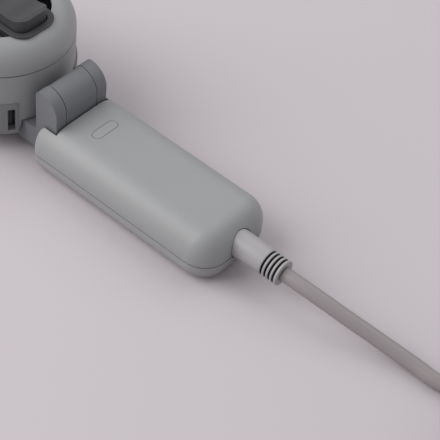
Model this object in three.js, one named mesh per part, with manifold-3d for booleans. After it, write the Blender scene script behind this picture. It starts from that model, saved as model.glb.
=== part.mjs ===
// A motorized pipette controller: a grip and a pump head joined by a folding hinge, with a plug-in lead.
// Millimetres, +Z up. The grip runs along +X, the nose points along -X, and the object lies on Z = 0.

import * as THREE from 'three';
import { mergeVertices } from 'three/addons/utils/BufferGeometryUtils.js';
import Module from 'manifold-3d';

const wasm = await Module();
wasm.setup();

// Driving dimensions. X = 0 is the grip's hinge end until the whole object is centred at the end.
const SEAM = 0.3; // gap between neighbouring pieces
const WALL = 1.8; // moulded shell wall
const STANDOFF = 0.5; // height of the shells above the surface, on their feet
const FOOT_HEIGHT = 1.1;

const GRIP_LENGTH = 89.6;
const GRIP_START = -2.6; // the two lobes beside the hinge reach back past X = 0
const GRIP_WIDTH = 40;
const GRIP_HEIGHT = 22;
const GRIP_PARTING = 9;
const GRIP_TOP_EDGE = 11;
const GRIP_BOTTOM_EDGE = 6;
const GRIP_CORD_CORNER = 11;
const GRIP_HINGE_CORNER = 4;
const HINGE_EDGE_SHARE = 0.42; // edge rounding at the hinge end, as a share of the side's
const CORD_EDGE_SHARE = 0.85;

const HINGE_X = -0.2; // the pin's axis
const HINGE_Z = 27.2;
const CROWN_X = -3.3; // centre of the arc over the ears and knuckle
const CROWN_RADIUS = 8.8;
const HINGE_RIGHT = 5.5; // flat right face of ears and knuckle
const HINGE_LEFT = -5.9; // flat left face of the ears
const HINGE_CORNER = 3;
const KNUCKLE_HALF = 8.4;
const EAR_OUT = 14;
const EAR_BOTTOM = 4.2;
const NOTCH_GAP = 0.9; // clearance of the ears in the grip's notch
const NOTCH_RIGHT = HINGE_RIGHT + NOTCH_GAP;
const NOTCH_HALF = EAR_OUT + NOTCH_GAP;
const NECK_TOP = 14.5;
const NECK_INSIDE = -24; // how far the neck reaches into the head
const PIN_RADIUS = 2.5;

const HEAD_X = -41; // centre of the head's round end
const HEAD_RADIUS = 31;
const HEAD_HEIGHT = 50;
const HEAD_MIDDLE = 25.5; // the head thins towards the nose about this height
const HEAD_PARTING = 38.2;
const HEAD_BOTTOM_EDGE = 14;
const HEAD_TOP_EDGE = 10;
const SNOUT_X = -96; // centre of the head's narrow end
const SNOUT_END = -100; // flat face that the nose collar stands on
const SNOUT_RADIUS = 17;
const SNOUT_SCALE = 0.66; // height at the narrow end, as a share of the full height

const NOSE_Z = HEAD_MIDDLE;
const COLLAR_RADIUS = 16;
const NOSE_TIP = -140;
const SOCKET_TIP = NOSE_TIP - 4;
const SOCKET_BORE = 4.1;

const KEY_X = 18.2;
const KEY_LENGTH = 12.5;
const KEY_WIDTH = 4.2;
const KEY_TRAVEL = 0.6;

const PLUG_Z = 12;
const PLUG_RADIUS = 5.35;
const PLUG_BASE = 5.8; // radius where the plug meets the grip
const PLUG_START = GRIP_LENGTH - 2.8;
const PLUG_END = 110.1;
const CORD_DIAMETER = 6;
const COIL_CENTRE = new THREE.Vector3(248, 4, 0);
const COIL_OUTER = 42; // radius of the outermost turn's centre line
const COIL_COLUMNS = 3;
const COIL_LAYERS = 2;
const COIL_ENTRY = 135; // degrees round the coil, from +X, where the lead runs on to it

const TRIGGER_SIZE = 16;
const TRIGGER_RISE = 6;
const TRIGGERS = { suction: -28, blowout: -50 }; // X of each trigger
const VENT_ANGLE = 35; // from the hinge side to the first slot, in degrees
const VENT_PITCH = 13.5;
const VENT_SLOTS = 4;
const VENT_WIDTH = 3;
const VENT_LOW = 8.7;
const VENT_HIGH = 24;

const ROUND = 20; // sides of a small turned piece

const finishes = {
  shell: new THREE.Color(0x969799),
  hinge: new THREE.Color(0x5f5d62),
  trim: new THREE.Color(0x3c3d41),
  rubber: new THREE.Color(0x26272a),
  steel: new THREE.Color(0xb4b6b8),
  brass: new THREE.Color(0xb28d45),
  board: new THREE.Color(0x1f5a3a),
  cell: new THREE.Color(0x3f6fa0),
  silicone: new THREE.Color(0xd8d4c8),
  cord: new THREE.Color(0x918a8c),
};

const radians = THREE.MathUtils.degToRad;

// ---- solids ----

// Merges shared corners, drops collapsed triangles and turns the faces outwards.
function closed(geometry) {
  const bare = geometry.clone();
  bare.deleteAttribute('normal');
  bare.deleteAttribute('uv');
  const merged = mergeVertices(bare, 1e-3);
  const position = merged.attributes.position;
  const corners = [new THREE.Vector3(), new THREE.Vector3(), new THREE.Vector3()];
  const kept = [];
  let volume = 0;
  for (let i = 0; i < merged.index.count; i += 3) {
    const triangle = [0, 1, 2].map((k) => merged.index.getX(i + k));
    if (new Set(triangle).size < 3) continue;
    kept.push(triangle);
    triangle.forEach((vertex, k) => corners[k].fromBufferAttribute(position, vertex));
    volume += corners[0].dot(corners[1].clone().cross(corners[2]));
  }
  const outward = volume < 0 ? kept.map(([a, b, c]) => [a, c, b]) : kept;
  return { vertices: new Float32Array(position.array), triangles: new Uint32Array(outward.flat()) };
}

function solid(geometry) {
  const { vertices, triangles } = closed(geometry);
  const mesh = new wasm.Mesh({ numProp: 3, vertProperties: vertices, triVerts: triangles });
  return new wasm.Manifold(mesh);
}

function block(low, high) {
  const size = high.map((value, k) => value - low[k]);
  const centre = high.map((value, k) => (value + low[k]) / 2);
  return solid(new THREE.BoxGeometry(...size).translate(...centre));
}

// Turns a geometry built around +Y so that its axis lies along x, y or z.
function alongAxis(geometry, axis) {
  if (axis === 'x') geometry.rotateZ(-Math.PI / 2);
  if (axis === 'z') geometry.rotateX(Math.PI / 2);
  return geometry;
}

// A cylinder along an axis, from one station to another, through the point [x, y, z].
function rod(axis, radius, from, to, [x, y, z], sides = ROUND) {
  const bar = new THREE.CylinderGeometry(radius, radius, to - from, sides);
  bar.translate(0, (from + to) / 2, 0);
  return solid(alongAxis(bar, axis).translate(x, y, z));
}

// A turned piece: profile points are [station along the axis, radius].
function turned(axis, profile, [x, y, z], sides = ROUND) {
  const outline = profile.map(([station, radius]) => new THREE.Vector2(radius, station));
  const first = outline[0];
  const last = outline[outline.length - 1];
  if (first.x > 0 || last.x > 0) outline.push(first.clone());
  const lathe = new THREE.LatheGeometry(outline, sides);
  return solid(alongAxis(lathe, axis).translate(x, y, z));
}

// A closed outline in the XZ plane, extruded between two Y stations, with an optional edge radius.
function sidePlate(shape, from, to, edge = 0) {
  const plate = new THREE.ExtrudeGeometry(shape, {
    depth: to - from - 2 * edge,
    bevelEnabled: edge > 0,
    bevelThickness: edge,
    bevelSize: edge,
    bevelOffset: -edge,
    bevelSegments: 1,
    curveSegments: 6,
  });
  return solid(plate.rotateX(Math.PI / 2).translate(0, to - edge, 0));
}

function roundedOutline(width, depth, radius) {
  const shape = new THREE.Shape();
  const [w, d] = [width / 2 - radius, depth / 2 - radius];
  shape.absarc(w, d, radius, 0, Math.PI / 2);
  shape.absarc(-w, d, radius, Math.PI / 2, Math.PI);
  shape.absarc(-w, -d, radius, Math.PI, 1.5 * Math.PI);
  shape.absarc(w, -d, radius, 1.5 * Math.PI, 2 * Math.PI);
  shape.closePath();
  return shape;
}

// A pad with rounded corners in plan and softened top and bottom edges.
function pad([x, y], [width, depth], [from, to], radius, edge) {
  const body = new THREE.ExtrudeGeometry(roundedOutline(width, depth, radius), {
    depth: to - from - 2 * edge,
    bevelEnabled: edge > 0,
    bevelThickness: edge,
    bevelSize: edge,
    bevelOffset: -edge,
    bevelSegments: 1,
    curveSegments: 3,
  });
  return solid(body.translate(x, y, from + edge));
}

function tube(points, radius, sides, steps) {
  const section = new THREE.Shape();
  for (let k = 0; k < sides; k += 1) {
    const angle = (2 * Math.PI * k) / sides;
    const [u, v] = [radius * Math.cos(angle), radius * Math.sin(angle)];
    if (k === 0) section.moveTo(u, v);
    else section.lineTo(u, v);
  }
  const route = new THREE.CatmullRomCurve3(points);
  return solid(new THREE.ExtrudeGeometry(section, { steps, extrudePath: route }));
}

// Skins a stack of rings of equal length and closes both ends with a fan.
function loft(rings) {
  const count = rings[0].length;
  const points = rings.flat();
  const faces = [];
  for (let ring = 0; ring + 1 < rings.length; ring += 1) {
    for (let k = 0; k < count; k += 1) {
      const next = (k + 1) % count;
      const [a, b] = [ring * count + k, ring * count + next];
      const [c, d] = [a + count, b + count];
      faces.push(a, b, c, b, d, c);
    }
  }
  for (const [ring, flip] of [[0, true], [rings.length - 1, false]]) {
    const middle = points.length;
    const centre = rings[ring].reduce((sum, point) => sum.add(point), new THREE.Vector3());
    points.push(centre.divideScalar(count));
    for (let k = 0; k < count; k += 1) {
      const [a, b] = [ring * count + k, ring * count + ((k + 1) % count)];
      faces.push(...(flip ? [middle, b, a] : [middle, a, b]));
    }
  }
  const geometry = new THREE.BufferGeometry().setFromPoints(points);
  geometry.setIndex(faces);
  return solid(geometry);
}

// Stations of an edge-rounded wall: each is [height, inset from the widest outline].
function edgeProfile(low, high, lowEdge, highEdge, steps) {
  const stations = [];
  for (let k = 0; k <= steps; k += 1) {
    const angle = (Math.PI / 2) * (k / steps);
    stations.push([low + lowEdge * (1 - Math.cos(angle)), lowEdge * (1 - Math.sin(angle))]);
  }
  for (let k = 0; k <= steps; k += 1) {
    const angle = (Math.PI / 2) * (k / steps);
    stations.push([high - highEdge * (1 - Math.sin(angle)), highEdge * (1 - Math.cos(angle))]);
  }
  return stations;
}

// ---- scene graph ----

const model = new THREE.Group();
model.position.x = -(SOCKET_TIP + GRIP_LENGTH) / 2;
const grip = new THREE.Group();
const head = new THREE.Group();
const nose = new THREE.Group();
const lead = new THREE.Group();
model.add(grip, head, lead);
head.add(nose);

function piece(group, name, body, finish) {
  const mesh = body.getMesh();
  const geometry = new THREE.BufferGeometry();
  geometry.setAttribute('position', new THREE.BufferAttribute(mesh.vertProperties, 3));
  geometry.setIndex(new THREE.BufferAttribute(mesh.triVerts, 1));
  const metal = finish === 'steel' || finish === 'brass';
  const material = new THREE.MeshStandardMaterial({
    color: finishes[finish],
    roughness: metal ? 0.35 : 0.55,
    metalness: metal ? 0.9 : 0,
  });
  const part = new THREE.Mesh(geometry, material);
  part.name = name;
  group.add(part);
}

// ---- grip shells ----

function gripRing(inset, height) {
  const hinge = GRIP_START + inset * HINGE_EDGE_SHARE;
  const cord = GRIP_LENGTH - inset * CORD_EDGE_SHARE;
  const half = GRIP_WIDTH / 2 - inset;
  const small = 0.8;
  const corners = [
    [cord, half, Math.max(GRIP_CORD_CORNER - inset, small), 0],
    [hinge, half, Math.max(GRIP_HINGE_CORNER - inset, small), 1],
    [hinge, -half, Math.max(GRIP_HINGE_CORNER - inset, small), 2],
    [cord, -half, Math.max(GRIP_CORD_CORNER - inset, small), 3],
  ];
  const steps = 5;
  const ring = [];
  for (const [x, y, radius, quarter] of corners) {
    const centre = [x - Math.sign(x - GRIP_LENGTH / 2) * radius, y - Math.sign(y) * radius];
    for (let k = 0; k <= steps; k += 1) {
      const angle = (Math.PI / 2) * (quarter + k / steps);
      const along = [centre[0] + radius * Math.cos(angle), centre[1] + radius * Math.sin(angle)];
      ring.push(new THREE.Vector3(...along, height));
    }
  }
  return ring;
}

function gripBody(shrink) {
  const stations = edgeProfile(
    STANDOFF + shrink,
    GRIP_HEIGHT - shrink,
    GRIP_BOTTOM_EDGE - shrink,
    GRIP_TOP_EDGE - shrink,
    5,
  );
  return loft(stations.map(([height, inset]) => gripRing(inset + shrink, height)));
}

const KNUCKLE_TONGUE = { half: 6, low: 4.8, high: 14, end: 13 };
const FAR = 200; // beyond every piece, for cutting blocks

const notch = block([-FAR, -NOTCH_HALF, -FAR], [NOTCH_RIGHT, NOTCH_HALF, FAR]);
const notchWall = block(
  [-FAR, -NOTCH_HALF - WALL, -FAR],
  [NOTCH_RIGHT + WALL, NOTCH_HALF + WALL, FAR],
);
const tongueWindow = block(
  [0, -KNUCKLE_TONGUE.half - SEAM, KNUCKLE_TONGUE.low - SEAM],
  [KNUCKLE_TONGUE.end, KNUCKLE_TONGUE.half + SEAM, KNUCKLE_TONGUE.high + SEAM],
);
const SOCKET_HOLE = 6.1;
const socketHole = rod('x', SOCKET_HOLE, 80, GRIP_LENGTH + 5, [0, 0, PLUG_Z], 28);
const END_SLOT = { half: 3.8, low: 4.2, high: 5.1 };
const endSlot = block([80, -END_SLOT.half, END_SLOT.low], [FAR, END_SLOT.half, END_SLOT.high]);

const GRIP_SCREWS = [[80, 12.5], [80, -12.5]];
const SCREW_HEAD = 2.1;
const SCREW_SHANK = 1.1;
const SCREW_SEAT = 2.9;
const SCREW_END = 13;

let gripHollow = gripBody(WALL).subtract(notchWall);
gripHollow = gripHollow.subtract(block([-FAR, -FAR, -FAR], [9, FAR, FAR]));
let gripShell = gripBody(0).subtract(notch).subtract(gripHollow).subtract(tongueWindow);
gripShell = gripShell.subtract(socketHole).subtract(endSlot);
for (const [x, y] of GRIP_SCREWS) {
  const post = rod('z', SCREW_HEAD + 1.3, STANDOFF + 1, GRIP_HEIGHT - 3, [x, y, 0], 12);
  gripShell = gripShell.add(post.intersect(gripBody(WALL / 2)));
  gripShell = gripShell.subtract(rod('z', SCREW_HEAD + 0.2, -1, SCREW_SEAT, [x, y, 0], 12));
  gripShell = gripShell.subtract(rod('z', SCREW_SHANK + 0.15, 0, SCREW_END + 1, [x, y, 0], 12));
}
const GROOVE = 0.5;
const aboveParting = block([-FAR, -FAR, GRIP_PARTING + GROOVE / 2], [FAR, FAR, FAR]);
const belowParting = block([-FAR, -FAR, -FAR], [FAR, FAR, GRIP_PARTING - GROOVE / 2]);

const KEY_HOLE = pad([KEY_X, 0], [KEY_WIDTH + 0.4, KEY_LENGTH + 0.4], [17, 24], KEY_WIDTH / 2, 0);
const FOOT = { width: 5, length: 22, radius: 2.4 };
const gripFeet = { front: 26, rear: 68 };
let gripLower = gripShell.intersect(belowParting);
for (const x of Object.values(gripFeet)) {
  const size = [FOOT.width + 0.2, FOOT.length + 0.2];
  gripLower = gripLower.subtract(pad([x, 0], size, [-1, FOOT_HEIGHT + 0.1], FOOT.radius, 0));
}
piece(grip, 'grip_upper_shell', gripShell.intersect(aboveParting).subtract(KEY_HOLE), 'shell');
piece(grip, 'grip_lower_shell', gripLower, 'shell');
for (const [name, x] of Object.entries(gripFeet)) {
  const foot = pad([x, 0], [FOOT.width, FOOT.length], [0, FOOT_HEIGHT], FOOT.radius, 0);
  piece(grip, `grip_foot_${name}`, foot, 'rubber');
}

function screw(x, y, seat, end, head) {
  const slot = block([x - head, y - 0.35, seat - 1.6], [x + head, y + 0.35, seat - 1]);
  const top = rod('z', head, seat - 1.5, seat - 0.05, [x, y, 0], 12);
  return top.add(rod('z', SCREW_SHANK, seat - 0.1, end, [x, y, 0], 10)).subtract(slot);
}

GRIP_SCREWS.forEach(([x, y], k) => {
  piece(grip, `grip_screw_${k + 1}`, screw(x, y, SCREW_SEAT, SCREW_END, SCREW_HEAD), 'steel');
});

// ---- key, board, cells and power socket inside the grip ----

const BOARD = { low: 17.0, high: 18.2, start: 11.5, end: 84, half: 9 };
const keyCap = pad([KEY_X, 0], [KEY_WIDTH, KEY_LENGTH], [GRIP_HEIGHT - 1.7, GRIP_HEIGHT], 2, 0.2);
const keyStem = rod('z', 1, BOARD.high + 1.1 + KEY_TRAVEL, GRIP_HEIGHT - 1.5, [KEY_X, 0, 0], 10);
piece(grip, 'mode_key', keyCap.add(keyStem), 'shell');
const boardLow = [BOARD.start, -BOARD.half, BOARD.low];
const boardHigh = [BOARD.end, BOARD.half, BOARD.high];
piece(grip, 'control_board', block(boardLow, boardHigh), 'board');
const switchLow = [KEY_X - 3, -3, BOARD.high + 0.05];
const switchHigh = [KEY_X + 3, 3, BOARD.high + 0.95];
piece(grip, 'key_switch', block(switchLow, switchHigh), 'steel');

const CELL = { radius: 6.4, start: 25, end: 70, side: 7.2, height: 9.6 };
for (const [side, sign] of [['left', 1], ['right', -1]]) {
  const centre = [0, sign * CELL.side, CELL.height];
  const cell = rod('x', CELL.radius, CELL.start, CELL.end, centre, 16);
  const cap = rod('x', 2.2, CELL.end - 0.5, CELL.end + 1, centre, 12);
  piece(grip, `battery_cell_${side}`, cell.add(cap), 'cell');
}
const contactFrom = CELL.end + 1.4;
piece(grip, 'battery_contact', block([contactFrom, -12, 5], [contactFrom + 0.6, 12, 15]), 'steel');

const JACK = { start: 73, end: 84, half: 5.2, low: 6.8, high: 16.9, bore: 3.2 };
const jackBox = block([JACK.start, -JACK.half, JACK.low], [JACK.end, JACK.half, JACK.high]);
const jackBore = rod('x', JACK.bore, JACK.start + 2, JACK.end + 1, [0, 0, PLUG_Z], 20);
piece(grip, 'power_socket', jackBox.subtract(jackBore), 'trim');

// ---- hinge ----

// The side view shared by the ears and the knuckle: flat faces below an arched crown.
function hingeShape(left, right, bottom, corner) {
  const shape = new THREE.Shape();
  const turn = Math.acos((left - CROWN_X + corner) / (CROWN_RADIUS - corner));
  shape.moveTo(right, bottom + corner);
  shape.lineTo(right, HINGE_Z);
  shape.absarc(CROWN_X, HINGE_Z, CROWN_RADIUS, 0, turn);
  const top = HINGE_Z + (CROWN_RADIUS - corner) * Math.sin(turn);
  shape.absarc(left + corner, top, corner, turn, Math.PI);
  shape.lineTo(left, bottom + corner);
  shape.absarc(left + corner, bottom + corner, corner, Math.PI, 1.5 * Math.PI);
  shape.absarc(right - corner, bottom + corner, corner, 1.5 * Math.PI, 2 * Math.PI);
  return shape;
}

const hingeAxis = [HINGE_X, 0, HINGE_Z];
const WASHER = { radius: 4.5, pocket: 1.1, thickness: 0.8 };
const knuckleShape = hingeShape(HINGE_LEFT + SEAM, HINGE_RIGHT, EAR_BOTTOM, HINGE_CORNER);
let knuckle = sidePlate(knuckleShape, -KNUCKLE_HALF, KNUCKLE_HALF);
knuckle = knuckle.add(
  block(
    [HINGE_RIGHT - 1, -KNUCKLE_TONGUE.half, KNUCKLE_TONGUE.low],
    [KNUCKLE_TONGUE.end, KNUCKLE_TONGUE.half, KNUCKLE_TONGUE.high],
  ),
);
knuckle = knuckle.subtract(rod('y', PIN_RADIUS + 0.12, -20, 20, hingeAxis, 24));
for (const sign of [1, -1]) {
  const faces = [sign * (KNUCKLE_HALF - WASHER.pocket), sign * (KNUCKLE_HALF + 1)];
  const [from, to] = [Math.min(...faces), Math.max(...faces)];
  knuckle = knuckle.subtract(rod('y', WASHER.radius + 0.3, from, to, hingeAxis, 24));
}
piece(grip, 'hinge_knuckle', knuckle, 'hinge');

const yokeShape = hingeShape(HINGE_LEFT, HINGE_RIGHT, EAR_BOTTOM, HINGE_CORNER);
const EAR_IN = KNUCKLE_HALF + SEAM;
const nearEar = sidePlate(yokeShape, -EAR_OUT, -EAR_IN, 0.8);
const farEar = sidePlate(yokeShape, EAR_IN, EAR_OUT, 0.8);
const neckShape = new THREE.Shape();
neckShape.moveTo(HINGE_LEFT + 2, EAR_BOTTOM + 0.2);
neckShape.lineTo(HINGE_LEFT + 2, NECK_TOP + 1.2);
neckShape.quadraticCurveTo(HINGE_LEFT - 1.5, NECK_TOP - 0.2, HINGE_LEFT - 4, NECK_TOP);
neckShape.lineTo(NECK_INSIDE, NECK_TOP);
neckShape.lineTo(NECK_INSIDE, EAR_BOTTOM + 0.2);
neckShape.closePath();
const NECK_INSET = 0.5; // the neck is this much narrower than the ears, on each side
const neckHalf = EAR_OUT - NECK_INSET;
const neckClear = block([HINGE_LEFT - SEAM, -EAR_IN - 1.3, -FAR], [FAR, EAR_IN + 1.3, FAR]);
const neck = sidePlate(neckShape, -neckHalf, neckHalf, 0.5).subtract(neckClear);
let yoke = nearEar.add(farEar).add(neck);
const PIN_END = 12.6;
const CAP = { radius: 3.6, thickness: 1 };
yoke = yoke.subtract(rod('y', PIN_RADIUS + 0.1, -PIN_END - 0.2, EAR_OUT + 1, hingeAxis, 24));
yoke = yoke.subtract(rod('y', CAP.radius + 0.1, PIN_END + 0.2, EAR_OUT + 1, hingeAxis, 24));
const YOKE_SCREWS = [[-20, 8.5], [-20, -8.5]];
for (const [x, y] of YOKE_SCREWS) {
  yoke = yoke.subtract(rod('z', SCREW_SHANK + 0.15, 0, NECK_TOP + 1, [x, y, 0], 12));
}
piece(head, 'yoke', yoke, 'hinge');
piece(head, 'hinge_pin', rod('y', PIN_RADIUS, -PIN_END, PIN_END, hingeAxis, 24), 'steel');
const capFrom = EAR_OUT - CAP.thickness;
piece(head, 'hinge_pin_cap', rod('y', CAP.radius, capFrom, EAR_OUT, hingeAxis, 20), 'hinge');
for (const [side, sign] of [['left', 1], ['right', -1]]) {
  const middle = sign * (KNUCKLE_HALF - WASHER.pocket + 0.15 + WASHER.thickness / 2);
  const from = middle - WASHER.thickness / 2;
  const profile = [
    [from, PIN_RADIUS + 0.2],
    [from, WASHER.radius],
    [from + WASHER.thickness, WASHER.radius],
    [from + WASHER.thickness, PIN_RADIUS + 0.2],
  ];
  piece(grip, `friction_washer_${side}`, turned('y', profile, hingeAxis, 20), 'brass');
}

// ---- head shells ----

// Height at X: the head thins towards its narrow end, above and below its middle.
function tapered(x, height) {
  const share = THREE.MathUtils.clamp((HEAD_X - x) / (HEAD_X - SNOUT_END), 0, 1);
  return HEAD_MIDDLE + (height - HEAD_MIDDLE) * (1 - (1 - SNOUT_SCALE) * share);
}

function headRing(inset, height) {
  const spread = Math.acos((SNOUT_RADIUS - HEAD_RADIUS) / (HEAD_X - SNOUT_X));
  const ring = [];
  const arcs = [
    [HEAD_X, HEAD_RADIUS, -spread, spread, 22],
    [SNOUT_X, SNOUT_RADIUS, spread, 2 * Math.PI - spread, 9],
  ];
  for (const [centre, radius, from, to, steps] of arcs) {
    for (let k = 0; k <= steps; k += 1) {
      const angle = from + ((to - from) * k) / steps;
      const x = centre + (radius - inset) * Math.cos(angle);
      const y = (radius - inset) * Math.sin(angle);
      ring.push(new THREE.Vector3(x, y, tapered(x, height)));
    }
  }
  return ring;
}

function headBody(shrink) {
  const stations = edgeProfile(
    STANDOFF + shrink,
    HEAD_HEIGHT - shrink,
    HEAD_BOTTOM_EDGE - shrink,
    HEAD_TOP_EDGE - shrink,
    4,
  );
  const body = loft(stations.map(([height, inset]) => headRing(inset + shrink, height)));
  return body.subtract(block([-FAR, -FAR, -FAR], [SNOUT_END + shrink, FAR, FAR]));
}

// A wedge of the round end's wall, between two angles either side, two radii and two heights.
function wallSector(sign, angles, radii, heights) {
  const profile = [
    [heights[0], radii[0]],
    [heights[0], radii[1]],
    [heights[1], radii[1]],
    [heights[1], radii[0]],
  ];
  const ring = turned('z', profile, [HEAD_X, 0, 0], 54);
  const wedge = new THREE.Shape();
  wedge.moveTo(HEAD_X, 0);
  const reach = 60;
  const steps = 6;
  for (let k = 0; k <= steps; k += 1) {
    const angle = radians(angles[0] + ((angles[1] - angles[0]) * k) / steps);
    wedge.lineTo(HEAD_X + reach * Math.cos(angle), sign * reach * Math.sin(angle));
  }
  wedge.closePath();
  const slice = new THREE.ExtrudeGeometry(wedge, { depth: FAR, bevelEnabled: false });
  return ring.intersect(solid(slice));
}

const lastSlot = VENT_ANGLE + (VENT_SLOTS - 1) * VENT_PITCH;
const ventAngles = [VENT_ANGLE - 5.2, lastSlot + 5.2];
const windowAngles = [ventAngles[0] + 1.5, ventAngles[1] - 1.5];
const neckWindow = block(
  [NECK_INSIDE - 1, -EAR_OUT - SEAM, EAR_BOTTOM - SEAM],
  [0, EAR_OUT + SEAM, NECK_TOP + SEAM],
);
const headHollow = headBody(WALL + 0.2);
let headShell = headBody(0).subtract(headHollow).subtract(neckWindow);
for (const sign of [1, -1]) {
  const radii = [HEAD_RADIUS - 5, HEAD_RADIUS + 3];
  const heights = [VENT_LOW + 1, VENT_HIGH - 1];
  headShell = headShell.subtract(wallSector(sign, windowAngles, radii, heights));
}
const spigotRadius = COLLAR_RADIUS - 1.8;
const spigotHole = rod('x', spigotRadius + SEAM, SNOUT_END - 9, SNOUT_END + 9, [0, 0, NOSE_Z], 32);
headShell = headShell.subtract(spigotHole);

const HEAD_SCREWS = [[-60, 17], [-60, -17]];
const HEAD_SEAT = 4.6;
for (const [x, y] of HEAD_SCREWS) {
  const post = rod('z', SCREW_HEAD + 1.4, 1, HEAD_HEIGHT, [x, y, 0], 12);
  headShell = headShell.add(post.intersect(headBody(WALL / 2)).subtract(spigotHole));
  headShell = headShell.subtract(rod('z', SCREW_HEAD + 0.2, -1, HEAD_SEAT, [x, y, 0], 12));
  headShell = headShell.subtract(rod('z', SCREW_SHANK + 0.15, 0, HEAD_PARTING + 4, [x, y, 0], 12));
}
const yokeSeat = 3.6;
for (const [x, y] of YOKE_SCREWS) {
  const boss = rod('z', SCREW_HEAD + 1.2, 1, EAR_BOTTOM - SEAM, [x, y, 0], 12);
  headShell = headShell.add(boss.intersect(headBody(WALL / 2)));
  headShell = headShell.subtract(rod('z', SCREW_HEAD + 0.2, -1, yokeSeat - 0.9, [x, y, 0], 12));
  headShell = headShell.subtract(rod('z', SCREW_SHANK + 0.15, 0, EAR_BOTTOM + 1, [x, y, 0], 12));
}

const BEZEL = { x: -39, length: 44, width: 22, low: HEAD_HEIGHT - 4, high: HEAD_HEIGHT + 0.8 };
const bezelHole = pad([BEZEL.x, 0], [BEZEL.length - 3, BEZEL.width - 3], [40, 60], 6, 0);
const DIAL = { x: -76, height: 38.6, radius: 9, half: 3 };
const dialHole = block(
  [DIAL.x - DIAL.radius - 0.6, -DIAL.half - 0.5, DIAL.height],
  [DIAL.x + DIAL.radius + 0.6, DIAL.half + 0.5, FAR],
);
const headAbove = block([-FAR, -FAR, HEAD_PARTING + GROOVE / 2], [FAR, FAR, FAR]);
const headBelow = block([-FAR, -FAR, -FAR], [FAR, FAR, HEAD_PARTING - GROOVE / 2]);
let headUpper = headShell.intersect(headAbove).subtract(bezelHole).subtract(dialHole);
let headLower = headShell.intersect(headBelow);
const headFeet = { left: [-40, 9], right: [-40, -9] };
for (const [x, y] of Object.values(headFeet)) {
  headLower = headLower.subtract(rod('z', 3.1, -1, FOOT_HEIGHT + 0.1, [x, y, 0], 16));
}
const bracket = { gap: 0.5, thickness: 1.6, reach: 5 };
for (const sign of [1, -1]) {
  const near = sign * (DIAL.half + bracket.gap);
  const far = sign * (DIAL.half + bracket.gap + bracket.thickness);
  const ear = block(
    [DIAL.x - bracket.reach, Math.min(near, far), DIAL.height - 3.5],
    [DIAL.x + bracket.reach, Math.max(near, far), 46.5],
  );
  headUpper = headUpper.add(ear.intersect(headBody(WALL / 2)));
}
headUpper = headUpper.subtract(rod('y', 1.35, -10, 10, [DIAL.x, 0, DIAL.height], 14));
piece(head, 'head_upper_shell', headUpper, 'shell');
piece(head, 'head_lower_shell', headLower, 'shell');
for (const [name, [x, y]] of Object.entries(headFeet)) {
  piece(head, `head_foot_${name}`, rod('z', 3, 0, FOOT_HEIGHT, [x, y, 0], 16), 'rubber');
}
HEAD_SCREWS.forEach(([x, y], k) => {
  const body = screw(x, y, HEAD_SEAT, HEAD_PARTING + 3.5, SCREW_HEAD);
  piece(head, `head_screw_${k + 1}`, body, 'steel');
});
YOKE_SCREWS.forEach(([x, y], k) => {
  const body = screw(x, y, yokeSeat - 0.9, NECK_TOP - 1, SCREW_HEAD);
  piece(head, `yoke_screw_${k + 1}`, body, 'steel');
});

for (const [side, sign] of [['left', 1], ['right', -1]]) {
  const inner = HEAD_RADIUS + 0.05;
  let band = wallSector(sign, ventAngles, [inner, HEAD_RADIUS + 0.7], [VENT_LOW, VENT_HIGH]);
  const plug = [windowAngles[0] + 0.8, windowAngles[1] - 0.8];
  const plugHeights = [VENT_LOW + 1.3, VENT_HIGH - 1.3];
  band = band.add(wallSector(sign, plug, [HEAD_RADIUS - 2.4, inner + 0.1], plugHeights));
  for (let slot = 0; slot < VENT_SLOTS; slot += 1) {
    const angle = VENT_ANGLE + slot * VENT_PITCH;
    const cut = pad([HEAD_RADIUS, 0], [12, VENT_WIDTH], [VENT_LOW + 2, VENT_HIGH - 2.4], 1.3, 0);
    const turn = cut.rotate([0, 0, sign * angle]).translate([HEAD_X, 0, 0]);
    band = band.subtract(turn);
  }
  piece(head, `vent_band_${side}`, band, 'shell');
  const foamRadii = [HEAD_RADIUS - 4.4, HEAD_RADIUS - 2.8];
  const foamAngles = [VENT_ANGLE - 1.5, windowAngles[1]];
  const foam = wallSector(sign, foamAngles, foamRadii, [VENT_LOW + 2, VENT_HIGH - 0.6]);
  piece(head, `vent_foam_${side}`, foam, 'rubber');
}

// ---- triggers, valve block and speed wheel ----

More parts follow.
